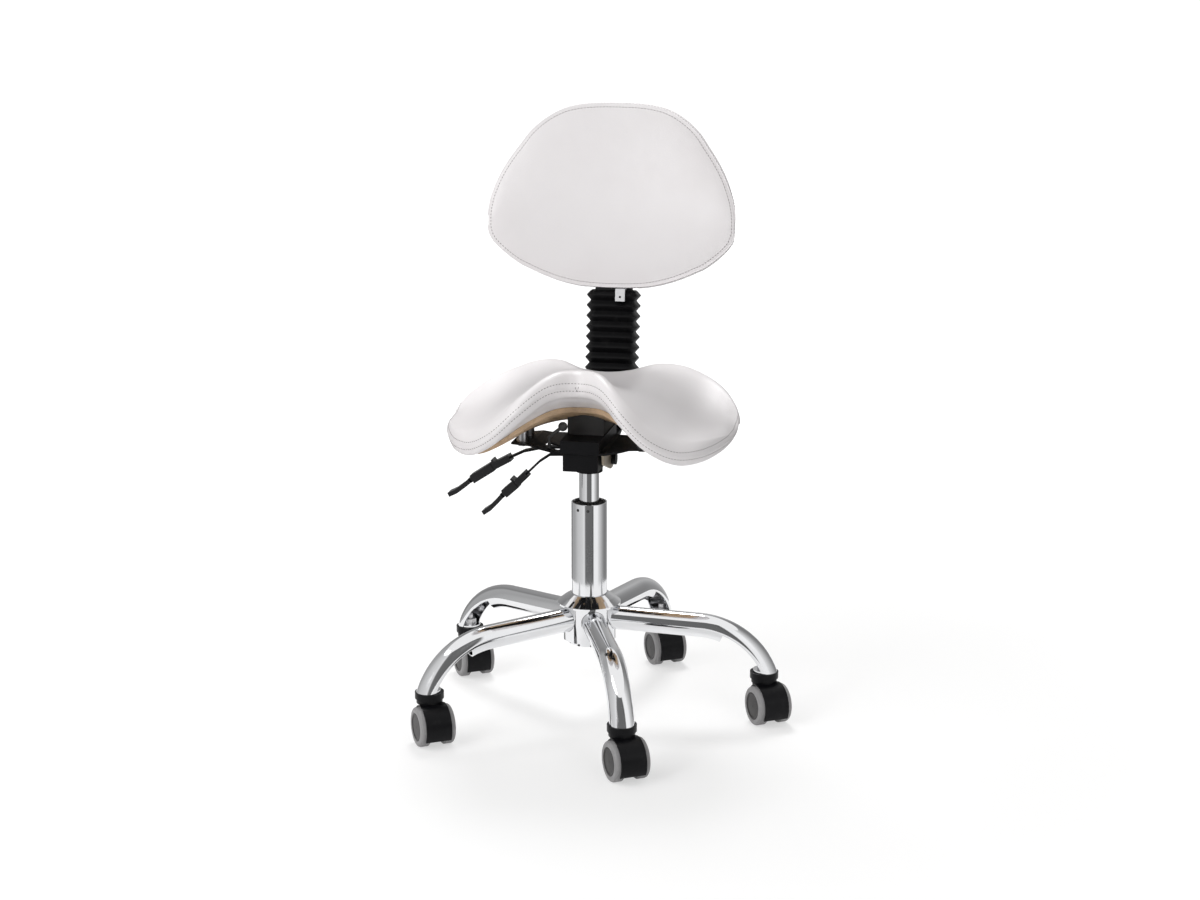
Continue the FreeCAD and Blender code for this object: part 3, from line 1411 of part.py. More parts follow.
def check_and_write():
    """Refuse a failed object or a bad shape, then write one file per sub-part."""
    doc.recompute()
    for thing in doc.Objects:
        if "Invalid" in thing.State or "Error" in thing.State:
            raise RuntimeError(f"{thing.Name} failed: {thing.State}")
    os.makedirs("parts", exist_ok=True)
    for thing in SUBPARTS:
        shape = thing.Shape
        if shape.isNull() or not shape.isValid():
            raise RuntimeError(f"{thing.Label} has no valid shape")
        if not shape.Solids or min(solid.Volume for solid in shape.Solids) <= 0:
            raise RuntimeError(f"{thing.Label} has no solid")
        shape.exportStep(f"parts/{thing.Label}.step")
    print(len(SUBPARTS), "sub-parts written")


make_hub()
make_hub_collar()
make_arms()
make_column()
make_bush()
make_bearing()
make_rod()
make_clip()
make_gas_cylinder()
make_valve_pin()
make_casters()
make_stems()
make_housing()
make_tilt_pins()
make_back_pin()
for lever, lever_y in (("height", 0.0), ("tilt", S.front_lever_y.value)):
    make_lever(lever, lever_y)
    make_grip(lever, lever_y)
make_seat_plate()
doc.recompute()
make_tilt_bracket()
make_release_rod()
make_cushion()
make_shell()
make_seat_bolts()
make_spacer()
make_back_bar()
make_boot()
make_slider()
make_back_cushion()
make_tab()
check_and_write()
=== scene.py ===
"""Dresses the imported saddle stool: upholstery, chrome, plastics, studio and camera."""
import enum
import logging
import math
from dataclasses import dataclass, field
from typing import Callable, Optional, Sequence, Union

import bmesh
import bpy
from mathutils import Matrix, Vector
from mathutils.bvhtree import BVHTree


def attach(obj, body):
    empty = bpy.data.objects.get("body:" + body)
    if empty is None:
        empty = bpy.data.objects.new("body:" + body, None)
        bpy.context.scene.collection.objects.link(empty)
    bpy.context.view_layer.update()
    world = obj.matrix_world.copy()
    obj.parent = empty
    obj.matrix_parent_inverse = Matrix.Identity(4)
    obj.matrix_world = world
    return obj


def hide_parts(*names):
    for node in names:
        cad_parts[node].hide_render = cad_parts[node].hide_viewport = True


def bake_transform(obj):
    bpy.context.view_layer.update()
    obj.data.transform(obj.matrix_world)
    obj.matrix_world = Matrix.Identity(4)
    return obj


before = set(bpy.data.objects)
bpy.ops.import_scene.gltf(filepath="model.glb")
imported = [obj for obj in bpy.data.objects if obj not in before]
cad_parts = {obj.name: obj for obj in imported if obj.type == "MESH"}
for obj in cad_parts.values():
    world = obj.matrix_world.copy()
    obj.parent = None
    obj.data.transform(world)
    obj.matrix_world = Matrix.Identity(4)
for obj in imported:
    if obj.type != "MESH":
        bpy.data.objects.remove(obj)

LOG = logging.getLogger("saddle_stool")
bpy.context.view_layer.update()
MM = 0.001

Number = Union["Flow", float, int]
Colour = tuple[float, float, float]


# Shader expressions


class Flow:
    """One output of a shader node, usable in an expression with numbers and other flows."""

    def __init__(self, board: "Board", socket: Optional[bpy.types.NodeSocket]) -> None:
        """Keep the board and the socket.

        Args:
            board: the node tree's wrapper.
            socket: the output that this flow stands for, or None for a node without outputs.
        """
        self.board = board
        self.socket = socket

    def math(self, operation: str, *terms: Number) -> "Flow":
        """Add one Math node.

        Args:
            operation: the node's operation.
            terms: its inputs, in order.

        Returns:
            The node's result.
        """
        return self.board.node("ShaderNodeMath", {"operation": operation}, dict(enumerate(terms)))

    def __add__(self, other: Number) -> "Flow":
        """Sum."""
        return self.math("ADD", self, other)

    def __radd__(self, other: Number) -> "Flow":
        """Sum, reflected."""
        return self.math("ADD", other, self)

    def __sub__(self, other: Number) -> "Flow":
        """Difference."""
        return self.math("SUBTRACT", self, other)

    def __rsub__(self, other: Number) -> "Flow":
        """Difference, reflected."""
        return self.math("SUBTRACT", other, self)

    def __mul__(self, other: Number) -> "Flow":
        """Product."""
        return self.math("MULTIPLY", self, other)

    def __rmul__(self, other: Number) -> "Flow":
        """Product, reflected."""
        return self.math("MULTIPLY", other, self)

    def __pow__(self, other: Number) -> "Flow":
        """Power."""
        return self.math("POWER", self, other)

    def step(self, low: float, high: float) -> "Flow":
        """Rise smoothly from 0 at low to 1 at high.

        Args:
            low: where the rise starts.
            high: where it ends.

        Returns:
            The eased value.
        """
        return self.board.node(
            "ShaderNodeMapRange", {"interpolation_type": "SMOOTHSTEP"},
            {"Value": self, "From Min": low, "From Max": high})

    def tint(self, low: Union[Colour, "Flow"], high: Union[Colour, "Flow"]) -> "Flow":
        """Mix two colours by this value.

        Args:
            low: the colour at 0.
            high: the colour at 1.

        Returns:
            The mixed colour.
        """
        return self.board.node(
            "ShaderNodeMix", {"data_type": "RGBA"}, {0: self, 6: low, 7: high}, 2)


class Board:
    """A material's node tree."""

    def __init__(self, tree: bpy.types.NodeTree) -> None:
        """Keep the tree.

        Args:
            tree: the node tree to add nodes to.
        """
        self.tree = tree

    def node(
        self,
        kind: str,
        settings: Optional[dict[str, object]] = None,
        sockets: Optional[dict[Union[str, int], object]] = None,
        output: Union[str, int] = 0,
    ) -> Flow:
        """Add any node: its settings first, then its sockets.

        Args:
            kind: the node's type.
            settings: attributes to set, and under "ramp" the stops of a colour ramp.
            sockets: values or flows by socket name or index.
            output: which output to return.

        Returns:
            The chosen output.
        """
        made = self.tree.nodes.new(kind)
        for key, value in (settings or {}).items():
            if key == "ramp":
                self.stops(made, value)
            else:
                setattr(made, key, value)
        for key, value in (sockets or {}).items():
            self.feed(made.inputs[key], value)
        return Flow(self, made.outputs[output] if made.outputs else None)

    def feed(self, socket: bpy.types.NodeSocket, value: object) -> None:
        """Set or link one input.

        Args:
            socket: the input.
            value: a flow, a number or a tuple.
        """
        if isinstance(value, Flow):
            self.tree.links.new(value.socket, socket)
        elif socket.type == "RGBA" and len(value) == 3:
            socket.default_value = (*value, 1.0)
        else:
            socket.default_value = value

    @staticmethod
    def stops(ramp: bpy.types.Node, stops: Sequence[tuple[float, Colour]]) -> None:
        """Set the stops of a colour ramp.

        Args:
            ramp: the node.
            stops: places and colours.
        """
        elements = ramp.color_ramp.elements
        while len(elements) < len(stops):
            elements.new(0.5)
        for element, (place, colour) in zip(elements, stops):
            element.position = place
            element.color = (*colour, 1.0)

    def place(self) -> Flow:
        """The place of a point on the object, in metres."""
        return self.node("ShaderNodeTexCoord", output="Object")

    def looked_at(self) -> Flow:
        """1 where the camera, a mirror or glass looks, and 0 for the light itself.

        Returns:
            The sum of the three kinds of ray, 1 at most.
        """
        kinds = [
            self.node("ShaderNodeLightPath", output=kind)
            for kind in ("Is Camera Ray", "Is Glossy Ray", "Is Transmission Ray")
        ]
        return (kinds[0] + kinds[1]).math("MINIMUM", kinds[0] + kinds[1] + kinds[2], 1.0)

    def noise(self, scale: float, detail: float = 3.0, where: Optional[Flow] = None) -> Flow:
        """Soft noise from 0 to 1.

        Args:
            scale: lumps per metre.
            detail: octaves.
            where: the place it is read at.

        Returns:
            The noise value.
        """
        return self.node(
            "ShaderNodeTexNoise", {},
            {"Vector": where or self.place(), "Scale": scale, "Detail": detail})

    def stretched(self, x: float, y: float, z: float) -> Flow:
        """The place, scaled along each axis.

        Args:
            x: factor along X.
            y: factor along Y.
            z: factor along Z.

        Returns:
            The scaled place.
        """
        return self.node(
            "ShaderNodeVectorMath", {"operation": "MULTIPLY"}, {0: self.place(), 1: (x, y, z)})

    def bump(self, height: Flow, depth: float, strength: float = 1.0) -> Flow:
        """A normal from a height.

        Args:
            height: the height, 0 to 1.
            depth: metres from 0 to 1.
            strength: how much of it shows.

        Returns:
            The bent normal.
        """
        return self.node(
            "ShaderNodeBump", {}, {"Height": height, "Distance": depth, "Strength": strength})


# Finishes


@dataclass(frozen=True)
class Finish:
    """A surface: its name and the plain values of its shader."""

    name: str
    colour: Colour
    roughness: float = 0.5
    metallic: float = 0.0
    coat: float = 0.0
    sheen: float = 0.5

    def vary(self, board: Board) -> dict[str, Flow]:
        """What changes over the surface, by shader socket.

        Args:
            board: the material's node tree.

        Returns:
            Flows by socket name.
        """
        return {}

    def material(self) -> bpy.types.Material:
        """The material, made once.

        Returns:
            The Blender material.
        """
        made = bpy.data.materials.get(self.name)
        if made is not None:
            return made
        made = bpy.data.materials.new(self.name)
        made.use_nodes = True
        board = Board(made.node_tree)
        shader = next(node for node in made.node_tree.nodes if node.type == "BSDF_PRINCIPLED")
        plain = {
            "Base Color": self.colour,
            "Roughness": self.roughness,
            "Metallic": self.metallic,
            "Coat Weight": self.coat,
        }
        for name, value in {**plain, **self.fixed(), **self.vary(board)}.items():
            board.feed(shader.inputs[name], value)
        return made

    def fixed(self) -> dict[str, object]:
        """Further plain values of the shader, by socket."""
        return {"Specular IOR Level": self.sheen}


@dataclass(frozen=True)
class ChromePlate(Finish):
    """Bright chrome with faint polishing haze."""

    haze: float = 0.05

    def vary(self, board: Board) -> dict[str, Flow]:
        """Roughness that drifts a little over the plate.

        Args:
            board: the material's node tree.

        Returns:
            Flows by socket name.
        """
        cloud = board.noise(14.0, 4.0).step(0.35, 0.75)
        dust = board.noise(420.0, 2.0).step(0.62, 0.8)
        return {
            "Roughness": cloud * self.haze + dust * 0.05 + self.roughness,
            "Base Color": cloud.tint(self.colour, tuple(0.96 * part for part in self.colour)),
        }


@dataclass(frozen=True)
class SheetMetal(Finish):
    """Plated or coated steel with a fine uneven skin."""

    grain: float = 700.0
    depth: float = 0.00006
    tone: float = 0.85

    def vary(self, board: Board) -> dict[str, Flow]:
        """Fine skin, clouded colour and roughness.

        Args:
            board: the material's node tree.

        Returns:
            Flows by socket name.
        """
        cloud = board.noise(35.0, 4.0)
        skin = board.noise(self.grain, 2.0)
        dark = tuple(self.tone * part for part in self.colour)
        return {
            "Base Color": cloud.step(0.3, 0.7).tint(self.colour, dark),
            "Roughness": cloud * 0.16 + (self.roughness - 0.06),
            "Normal": board.bump(skin, self.depth),
        }


@dataclass(frozen=True)
class Moulding(Finish):
    """Moulded plastic or rubber with a spark-eroded grain and light scuffs."""

    grain: float = 1500.0
    depth: float = 0.00005
    scuff: float = 0.02

    def vary(self, board: Board) -> dict[str, Flow]:
        """Grain, scuffs and soft clouds of gloss.

        Args:
            board: the material's node tree.

        Returns:
            Flows by socket name.
        """
        cloud = board.noise(28.0, 4.0)
        rub = board.noise(90.0, 6.0).step(0.55, 0.75)
        grain = board.node(
            "ShaderNodeTexVoronoi", {"feature": "F1"},
            {"Vector": board.place(), "Scale": self.grain})
        light = tuple(part + self.scuff for part in self.colour)
        return {
            "Base Color": rub.tint(self.colour, light),
            "Roughness": cloud * 0.14 + rub * 0.06 + (self.roughness - 0.08),
            "Normal": board.bump(grain, self.depth),
        }


@dataclass(frozen=True)
class Leatherette(Finish):
    """Coated cloth: pebbled grain, a soft gloss and faint creases."""

    shade: Colour = (0.78, 0.74, 0.745)
    grain: float = 1150.0

    def vary(self, board: Board) -> dict[str, Flow]:
        """Pebble grain, soft dents and a slightly uneven white.

        Args:
            board: the material's node tree.

        Returns:
            Flows by socket name.
        """
        pebble = board.node(
            "ShaderNodeTexVoronoi", {"feature": "SMOOTH_F1"},
            {"Vector": board.place(), "Scale": self.grain, "Smoothness": 0.6})
        crease = board.noise(620.0, 3.0)
        dent = board.noise(26.0, 3.0)
        cloud = board.noise(9.0, 3.0).step(0.35, 0.8)
        height = pebble * 0.16 + crease * 0.1 + dent * 1.4
        return {
            "Base Color": (cloud * 0.35).tint(self.colour, self.shade),
            "Roughness": crease * 0.12 + cloud * 0.05 + (self.roughness - 0.07),
            "Normal": board.bump(height, 0.0009, 0.55),
        }


@dataclass(frozen=True)
class BentPlywood(Finish):
    """Beech veneers: long pores on the face, thin dark lines on the edge."""

    pore: Colour = (0.4, 0.24, 0.12)

    def vary(self, board: Board) -> dict[str, Flow]:
        """Grain along the seat, pores and a satin skin.

        Args:
            board: the material's node tree.

        Returns:
            Flows by socket name.
        """
        drift = board.noise(60.0, 4.0, board.stretched(1.0, 0.12, 1.0))
        pores = board.noise(900.0, 3.0, board.stretched(1.0, 0.05, 1.0)).step(0.55, 0.72)
        veneer = board.node(
            "ShaderNodeTexWave", {"wave_type": "BANDS", "bands_direction": "Z"},
            {"Vector": board.place(), "Scale": 115.0, "Distortion": 1.2, "Detail": 2.0})
        warm = drift.step(0.3, 0.7).tint(self.colour, tuple(0.78 * part for part in self.colour))
        lined = (veneer * 0.18).tint(warm, self.pore)
        return {
            "Base Color": (pores * 0.5).tint(lined, self.pore),
            "Roughness": drift * 0.2 + (self.roughness - 0.1),
            "Normal": board.bump(pores, 0.00008),
        }


@dataclass(frozen=True)
class TwistedThread(Finish):
    """Sewing thread with its twist."""

    def vary(self, board: Board) -> dict[str, Flow]:
        """Fine twist in colour and height.

        Args:
            board: the material's node tree.

        Returns:
            Flows by socket name.
        """
        twist = board.noise(2600.0, 1.0)
        return {
            "Base Color": twist.tint(self.colour, tuple(0.8 * part for part in self.colour)),
            "Normal": board.bump(twist, 0.0001),
        }


CHROME = ChromePlate("bright_chrome", (0.83, 0.835, 0.85), 0.045, 1.0)
ZINC = SheetMetal("zinc_plate", (0.6, 0.6, 0.61), 0.34, 1.0, depth=0.00003)
BRONZE = SheetMetal("yellow_zinc", (0.42, 0.36, 0.28), 0.38, 0.9)
COAT = SheetMetal(
    "black_powder_coat", (0.006, 0.006, 0.007), 0.42, sheen=0.14, grain=1400.0, tone=0.7)
PLASTIC = Moulding("black_plastic", (0.005, 0.005, 0.006), 0.4, sheen=0.18, scuff=0.006)
GRIP = Moulding("lever_grip_black", (0.004, 0.004, 0.005), 0.24, sheen=0.35, scuff=0.006)
HOOD = Moulding(
    "caster_black", (0.004, 0.004, 0.005), 0.34, sheen=0.14, scuff=0.004, depth=0.00002)
WHEEL = Moulding("wheel_core_grey", (0.03, 0.028, 0.028), 0.42, sheen=0.3, scuff=0.02)
TREAD = Moulding("tread_grey", (0.3, 0.295, 0.3), 0.6, scuff=0.08, depth=0.00004)
BOOT = Moulding("boot_rubber", (0.003, 0.003, 0.0035), 0.4, sheen=0.12, grain=1100.0, scuff=0.004)
PLY = BentPlywood("beech_plywood", (0.66, 0.47, 0.3), 0.5)
COVER = Leatherette("white_leatherette", (0.87, 0.845, 0.852), 0.34)
THREAD = TwistedThread("grey_thread", (0.25, 0.22, 0.225), 0.75)


# Mesh helpers


def shade(mesh: bpy.types.Mesh, sharp: float = 180.0) -> None:
    """Shade a mesh smooth, with sharp edges above an angle.

    Args:
        mesh: the mesh.
        sharp: degrees.
    """
    mesh.shade_smooth()
    if sharp < 180.0:
        mesh.set_sharp_from_angle(angle=math.radians(sharp))


def to_object(
    name: str,
    build: bmesh.types.BMesh,
    finish: Union[Finish, bpy.types.Material],
    sharp: float = 180.0,
) -> bpy.types.Object:
    """Turn a bmesh into a finished object in the scene.

    Args:
        name: the piece's name.
        build: the mesh, which is freed.
        finish: its surface, or a material made for it alone.
        sharp: degrees above which edges stay sharp.

    Returns:
        The object.
    """
    mesh = bpy.data.meshes.new(name)
    bmesh.ops.recalc_face_normals(build, faces=build.faces)
    build.to_mesh(mesh)
    build.free()
    shade(mesh, sharp)
    made = bpy.data.objects.new(name, mesh)
    bpy.context.scene.collection.objects.link(made)
    made.data.materials.append(finish.material() if isinstance(finish, Finish) else finish)
    return made


def bare_material(name: str, tree_of: Optional[bpy.types.World] = None) -> tuple[object, Board]:
    """A material, or a world, whose node tree is empty.

    Args:
        name: the new material's name.
        tree_of: a world to empty in place of a new material.

    Returns:
        The material or world, and its node tree's wrapper.
    """
    made = tree_of or bpy.data.materials.new(name)
    made.use_nodes = True
    made.node_tree.nodes.clear()
    return made, Board(made.node_tree)


def skin_rings(
    build: bmesh.types.BMesh, rings: Sequence[Sequence[Vector]], cap: bool = True
) -> list[list[bmesh.types.BMVert]]:
    """Skin closed rings of equal length one after another.

    Args:
        build: the mesh to add to.
        rings: points of each ring.
        cap: close both ends.

    Returns:
        The new vertices, ring by ring.
    """
    made = [[build.verts.new(point) for point in ring] for ring in rings]
    count = len(made[0])
    for near, far in zip(made, made[1:]):
        for number in range(count):
            after = (number + 1) % count
            build.faces.new((near[number], near[after], far[after], far[number]))
    if cap:
        build.faces.new(list(reversed(made[0])))
        build.faces.new(made[-1])
    return made


def arc(first: Vector, through: Vector, last: Vector, count: int) -> list[Vector]:
    """Points along the circle through three points, without the last one.

    Args:
        first: start.
        through: a point on the way.
        last: end.
        count: steps.

    Returns:
        The points, count of them.
    """
    one = through - first
    two = last - first
    normal = one.cross(two)
    if normal.length < 1e-10:
        middle = through * 2 - (first + last) / 2
        return [
            first * (1 - u) ** 2 + middle * 2 * u * (1 - u) + last * u * u
            for u in (step / count for step in range(count))
        ]
    centre = first + (
        normal.cross(one) * two.length_squared - normal.cross(two) * one.length_squared
    ) / (2 * normal.length_squared)
    spoke = first - centre
    axis = normal.normalized()
    reach = last - centre
    angle = math.atan2(axis.dot(spoke.cross(reach)), spoke.dot(reach)) % (2 * math.pi)
    return [centre + Matrix.Rotation(angle * step / count, 3, axis) @ spoke for step in range(count)]


class Spread:
    """A value that runs smoothly from the middle of a piece to its side."""

    def __init__(self, shares: Sequence[float], values: Sequence[float]) -> None:
        """Keep the key points.

        Args:
            shares: places from 0 in the middle to 1 at the side.
            values: the value at each.
        """
        self.turns = [math.asin(share) for share in shares]
        self.values = list(values)
        self.slopes = [0.0]
        for number in range(1, len(values) - 1):
            rise = values[number + 1] - values[number - 1]
            self.slopes.append(rise / (self.turns[number + 1] - self.turns[number - 1]))
        last = (values[-1] - values[-2]) / (self.turns[-1] - self.turns[-2])
        self.slopes.append(last * 0.5)

    def at(self, share: float) -> float:
        """The value at a share of the half width.

        Args:
            share: the place, of either sign.

        Returns:
            The value.
        """
        turn = math.asin(min(abs(share), 1.0))
        number = 0
        while number < len(self.turns) - 2 and turn > self.turns[number + 1]:
            number += 1
        gap = self.turns[number + 1] - self.turns[number]
        u = (turn - self.turns[number]) / gap
        low = self.values[number] * (1 + 2 * u) * (1 - u) ** 2
        high = self.values[number + 1] * u * u * (3 - 2 * u)
        leave = self.slopes[number] * gap * u * (1 - u) ** 2
        arrive = self.slopes[number + 1] * gap * u * u * (u - 1)
        return low + high + leave + arrive


@dataclass
class Line:
    """A run of surface points with their outward normals."""

    points: list[Vector] = field(default_factory=list)
    normals: list[Vector] = field(default_factory=list)
    closed: bool = True

    def spaced(self, gap: float) -> list[tuple[Vector, Vector, Vector]]:
        """Walk the line at even steps.

        Args:
            gap: metres between steps.

        Returns:
            Place, direction and normal of each step.
        """
        spots = self.points + ([self.points[0]] if self.closed else [])
        ups = self.normals + ([self.normals[0]] if self.closed else [])
        total = sum((b - a).length for a, b in zip(spots, spots[1:]))
        count = max(int(total / gap), 1)
        gap = total / count
        steps: list[tuple[Vector, Vector, Vector]] = []
        travelled = 0.0
        wanted = gap / 2
        for number in range(len(spots) - 1):
            run = spots[number + 1] - spots[number]
            length = run.length
            while length > 0 and wanted <= travelled + length and len(steps) < count:
                share = (wanted - travelled) / length
                up = ups[number].lerp(ups[number + 1], share).normalized()
                steps.append((spots[number] + run * share, run.normalized(), up))
                wanted += gap
            travelled += length
        return steps


@dataclass(frozen=True)
class Stitch:
    """One stitch: metres to the next one, its length and the thread's width."""

    gap: float = 0.0046
    length: float = 0.0034
    width: float = 0.0009


def sew(name: str, line: Line, stitch: Stitch = Stitch()) -> bpy.types.Object:
    """Stitches along a line: one small thread lozenge for each.

    Args:
        name: the row's name.
        line: where it runs.
        stitch: its measures.

    Returns:
        The row of stitches.
    """
    build = bmesh.new()
    profile = [(-0.5, 0.25), (-0.36, 0.85), (0.0, 1.0), (0.36, 0.85), (0.5, 0.25)]
    width = stitch.width
    for place, along, up in line.spaced(stitch.gap):
        side = along.cross(up).normalized()
        rings = []
        for share, swell in profile:
            dip = (1 - swell) * width * 0.9
            centre = place + along * share * stitch.length + up * (width * 0.12 - dip)
            ring = []
            for step in range(6):
                turn = math.radians(60 * step)
                ring.append(
                    centre + side * math.cos(turn) * width * 0.5 * swell
                    + up * math.sin(turn) * width * 0.42 * swell)
            rings.append(ring)
        skin_rings(build, rings)
    return to_object(name, build, THREAD)


# Upholstery


@dataclass
class Pad:
    """A sewn pad that is built from closed sections across its width."""

    half_width: float
    body: str
    node: str
    title: str
    fill: float
    stations: int = 96
    groove: float = 0.0011
    pressure: float = 4.0
    swell_limit: float = 0.004
    sim_frames: int = 20
    evening: int = 24

    def ring(self, share: float) -> list[Vector]:
        """Section at a share of the half width, in metres."""
        raise NotImplementedError

    def half_count(self) -> int:
        """Points from the first seam to the second, the same on both sides of the section."""
        raise NotImplementedError

    def rings(self) -> list[list[Vector]]:
        """All sections from side to side; the first and last are closed flat.

        Returns:
            Rings of points.
        """
        made = []
        for number in range(self.stations + 1):
            turn = math.radians(-90 + 180 * number / self.stations)
            made.append(self.ring(math.sin(turn)))
        half = self.half_count()
        for ring in (made[0], made[-1]):
            first, last = ring[0].copy(), ring[half].copy()
            for step in range(half + 1):
                spot = first.lerp(last, step / half)
                ring[step] = spot
                ring[-step if step else 0] = spot.copy()
        return made

    def seam(self, rings: Sequence[Sequence[Vector]], index: int, other: int) -> list[Vector]:
        """Closed line along one ring index and back along another.

        Args:
            rings: the sections.
            index: the index on the way out.
            other: the index on the way back.

        Returns:
            The line's points.
        """
        out = [ring[index] for ring in rings]
        back = [ring[other] for ring in reversed(rings)]
        half = self.half_count()
        right = [rings[-1][0].lerp(rings[-1][half], step / 6) for step in range(1, 6)]
        left = [rings[0][half].lerp(rings[0][0], step / 6) for step in range(1, 6)]
        return out + right + back + left

    def beside(
        self, seam: Sequence[Vector], tree: BVHTree, shift: Callable[[Vector, Vector], Vector]
    ) -> Line:
        """A line on the surface that keeps its distance to a seam.

        Args:
            seam: the closed seam.
            tree: the pad's surface.
            shift: gives the offset from a seam point's place and outward direction.

        Returns:
            The line.
        """
        line = Line()
        count = len(seam)
        middle = sum(seam, Vector()) / count
        for number, point in enumerate(seam):
            run = seam[(number + 2) % count] - seam[number - 2]
            outward = self.outward(point, run, middle)
            spot, normal, _, _ = tree.find_nearest(point + shift(point, outward))
            line.points.append(spot)
            line.normals.append(normal)
        return line

    def outward(self, point: Vector, run: Vector, middle: Vector) -> Vector:
        """Direction out of the pad's outline at a seam point."""
        raise NotImplementedError

    def channels(self) -> tuple[int, ...]:
        """Ring indices that a sewn channel follows."""
        raise NotImplementedError

    def resting(self) -> range:
        """Ring indices that lie on the shell or the back plate."""
        raise NotImplementedError

    def rows(self, seam: Sequence[Vector], tree: BVHTree) -> dict[str, Line]:
        """Lines of stitches by name, for a seam and the pad's surface."""
        raise NotImplementedError

    def open_up(self, cover: bpy.types.Object) -> None:
        """Cut what the cover has open; a plain pad has nothing."""

    def build(self) -> list[bpy.types.Object]:
        """Make the cover, fill it and sew it.

        Returns:
            The pieces.
        """
        rings = self.rings()
        build = bmesh.new()
        held = build.verts.layers.int.new("held")
        made = skin_rings(build, rings, cap=False)
        build.normal_update()
        for ring in made:
            for index in self.resting():
                ring[index][held] = 1
            for index in self.channels():
                ring[index].co -= ring[index].normal * self.groove
                ring[index][held] = 1
        bmesh.ops.remove_doubles(build, verts=build.verts, dist=1e-5)
        cover = to_object(self.title, build, COVER)
        self.fill_with_foam(cover)
        mesh = cover.data
        tree = BVHTree.FromPolygons(
            [vert.co for vert in mesh.vertices], [face.vertices for face in mesh.polygons])
        self.open_up(cover)
        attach(cover, self.body)
        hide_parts(self.node)
        pieces = [cover]
        for name, line in self.rows(self.seam(rings, 0, self.half_count()), tree).items():
            row = sew(name, line)
            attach(row, self.body)
            pieces.append(row)
        return pieces

    def fill_with_foam(self, cover: bpy.types.Object) -> None:
        """Swell the cover between its seams with a short cloth simulation.

        Args:
            cover: the closed pad, with its held points marked.
        """
        mesh = cover.data
        held = [number for number, mark in enumerate(mesh.attributes["held"].data) if mark.value]
        mesh.attributes.remove(mesh.attributes["held"])
        cover.vertex_groups.new(name="held").add(held, 1.0, "REPLACE")
        change = cover.modifiers.new("foam", "CLOTH")
        cloth = change.settings
        cloth.vertex_group_mass = "held"
        cloth.use_pressure = True
        cloth.uniform_pressure_force = self.pressure
        cloth.effector_weights.gravity = 0.0
        change.point_cache.frame_end = self.sim_frames
        for moment in range(1, self.sim_frames + 1):
            bpy.context.scene.frame_set(moment)
        graph = bpy.context.evaluated_depsgraph_get()
        swollen = cover.evaluated_get(graph)
        spots = [vert.co.copy() for vert in swollen.to_mesh().vertices]
        swollen.to_mesh_clear()
        cover.modifiers.clear()
        cover.vertex_groups.clear()
        bpy.context.scene.frame_set(1)
        steps = [spot - vert.co for vert, spot in zip(mesh.vertices, spots)]
        LOG.info("%s swells by %.1f mm at most", cover.name, max(s.length for s in steps) / MM)
        steps = [step * min(1.0, self.swell_limit / max(step.length, 1e-9)) for step in steps]
        for vert, step in zip(mesh.vertices, self.evened(mesh, steps, set(held))):
            vert.co += step

    def evened(self, mesh: bpy.types.Mesh, steps: list[Vector], held: set[int]) -> list[Vector]:
        """Even out the swelling, as foam does under a taut cover.

        Args:
            mesh: the cover.
            steps: how far each point moved.
            held: points that stay.

        Returns:
            The evened moves.
        """
        near: list[list[int]] = [[] for _ in mesh.vertices]
        for edge in mesh.edges:
            one, other = edge.vertices
            near[one].append(other)
            near[other].append(one)
        for _ in range(self.evening):
            steps = [
                Vector() if number in held
                else (steps[number] + sum((steps[n] for n in around), Vector())) / (len(around) + 1)
                for number, around in enumerate(near)
            ]
        return steps


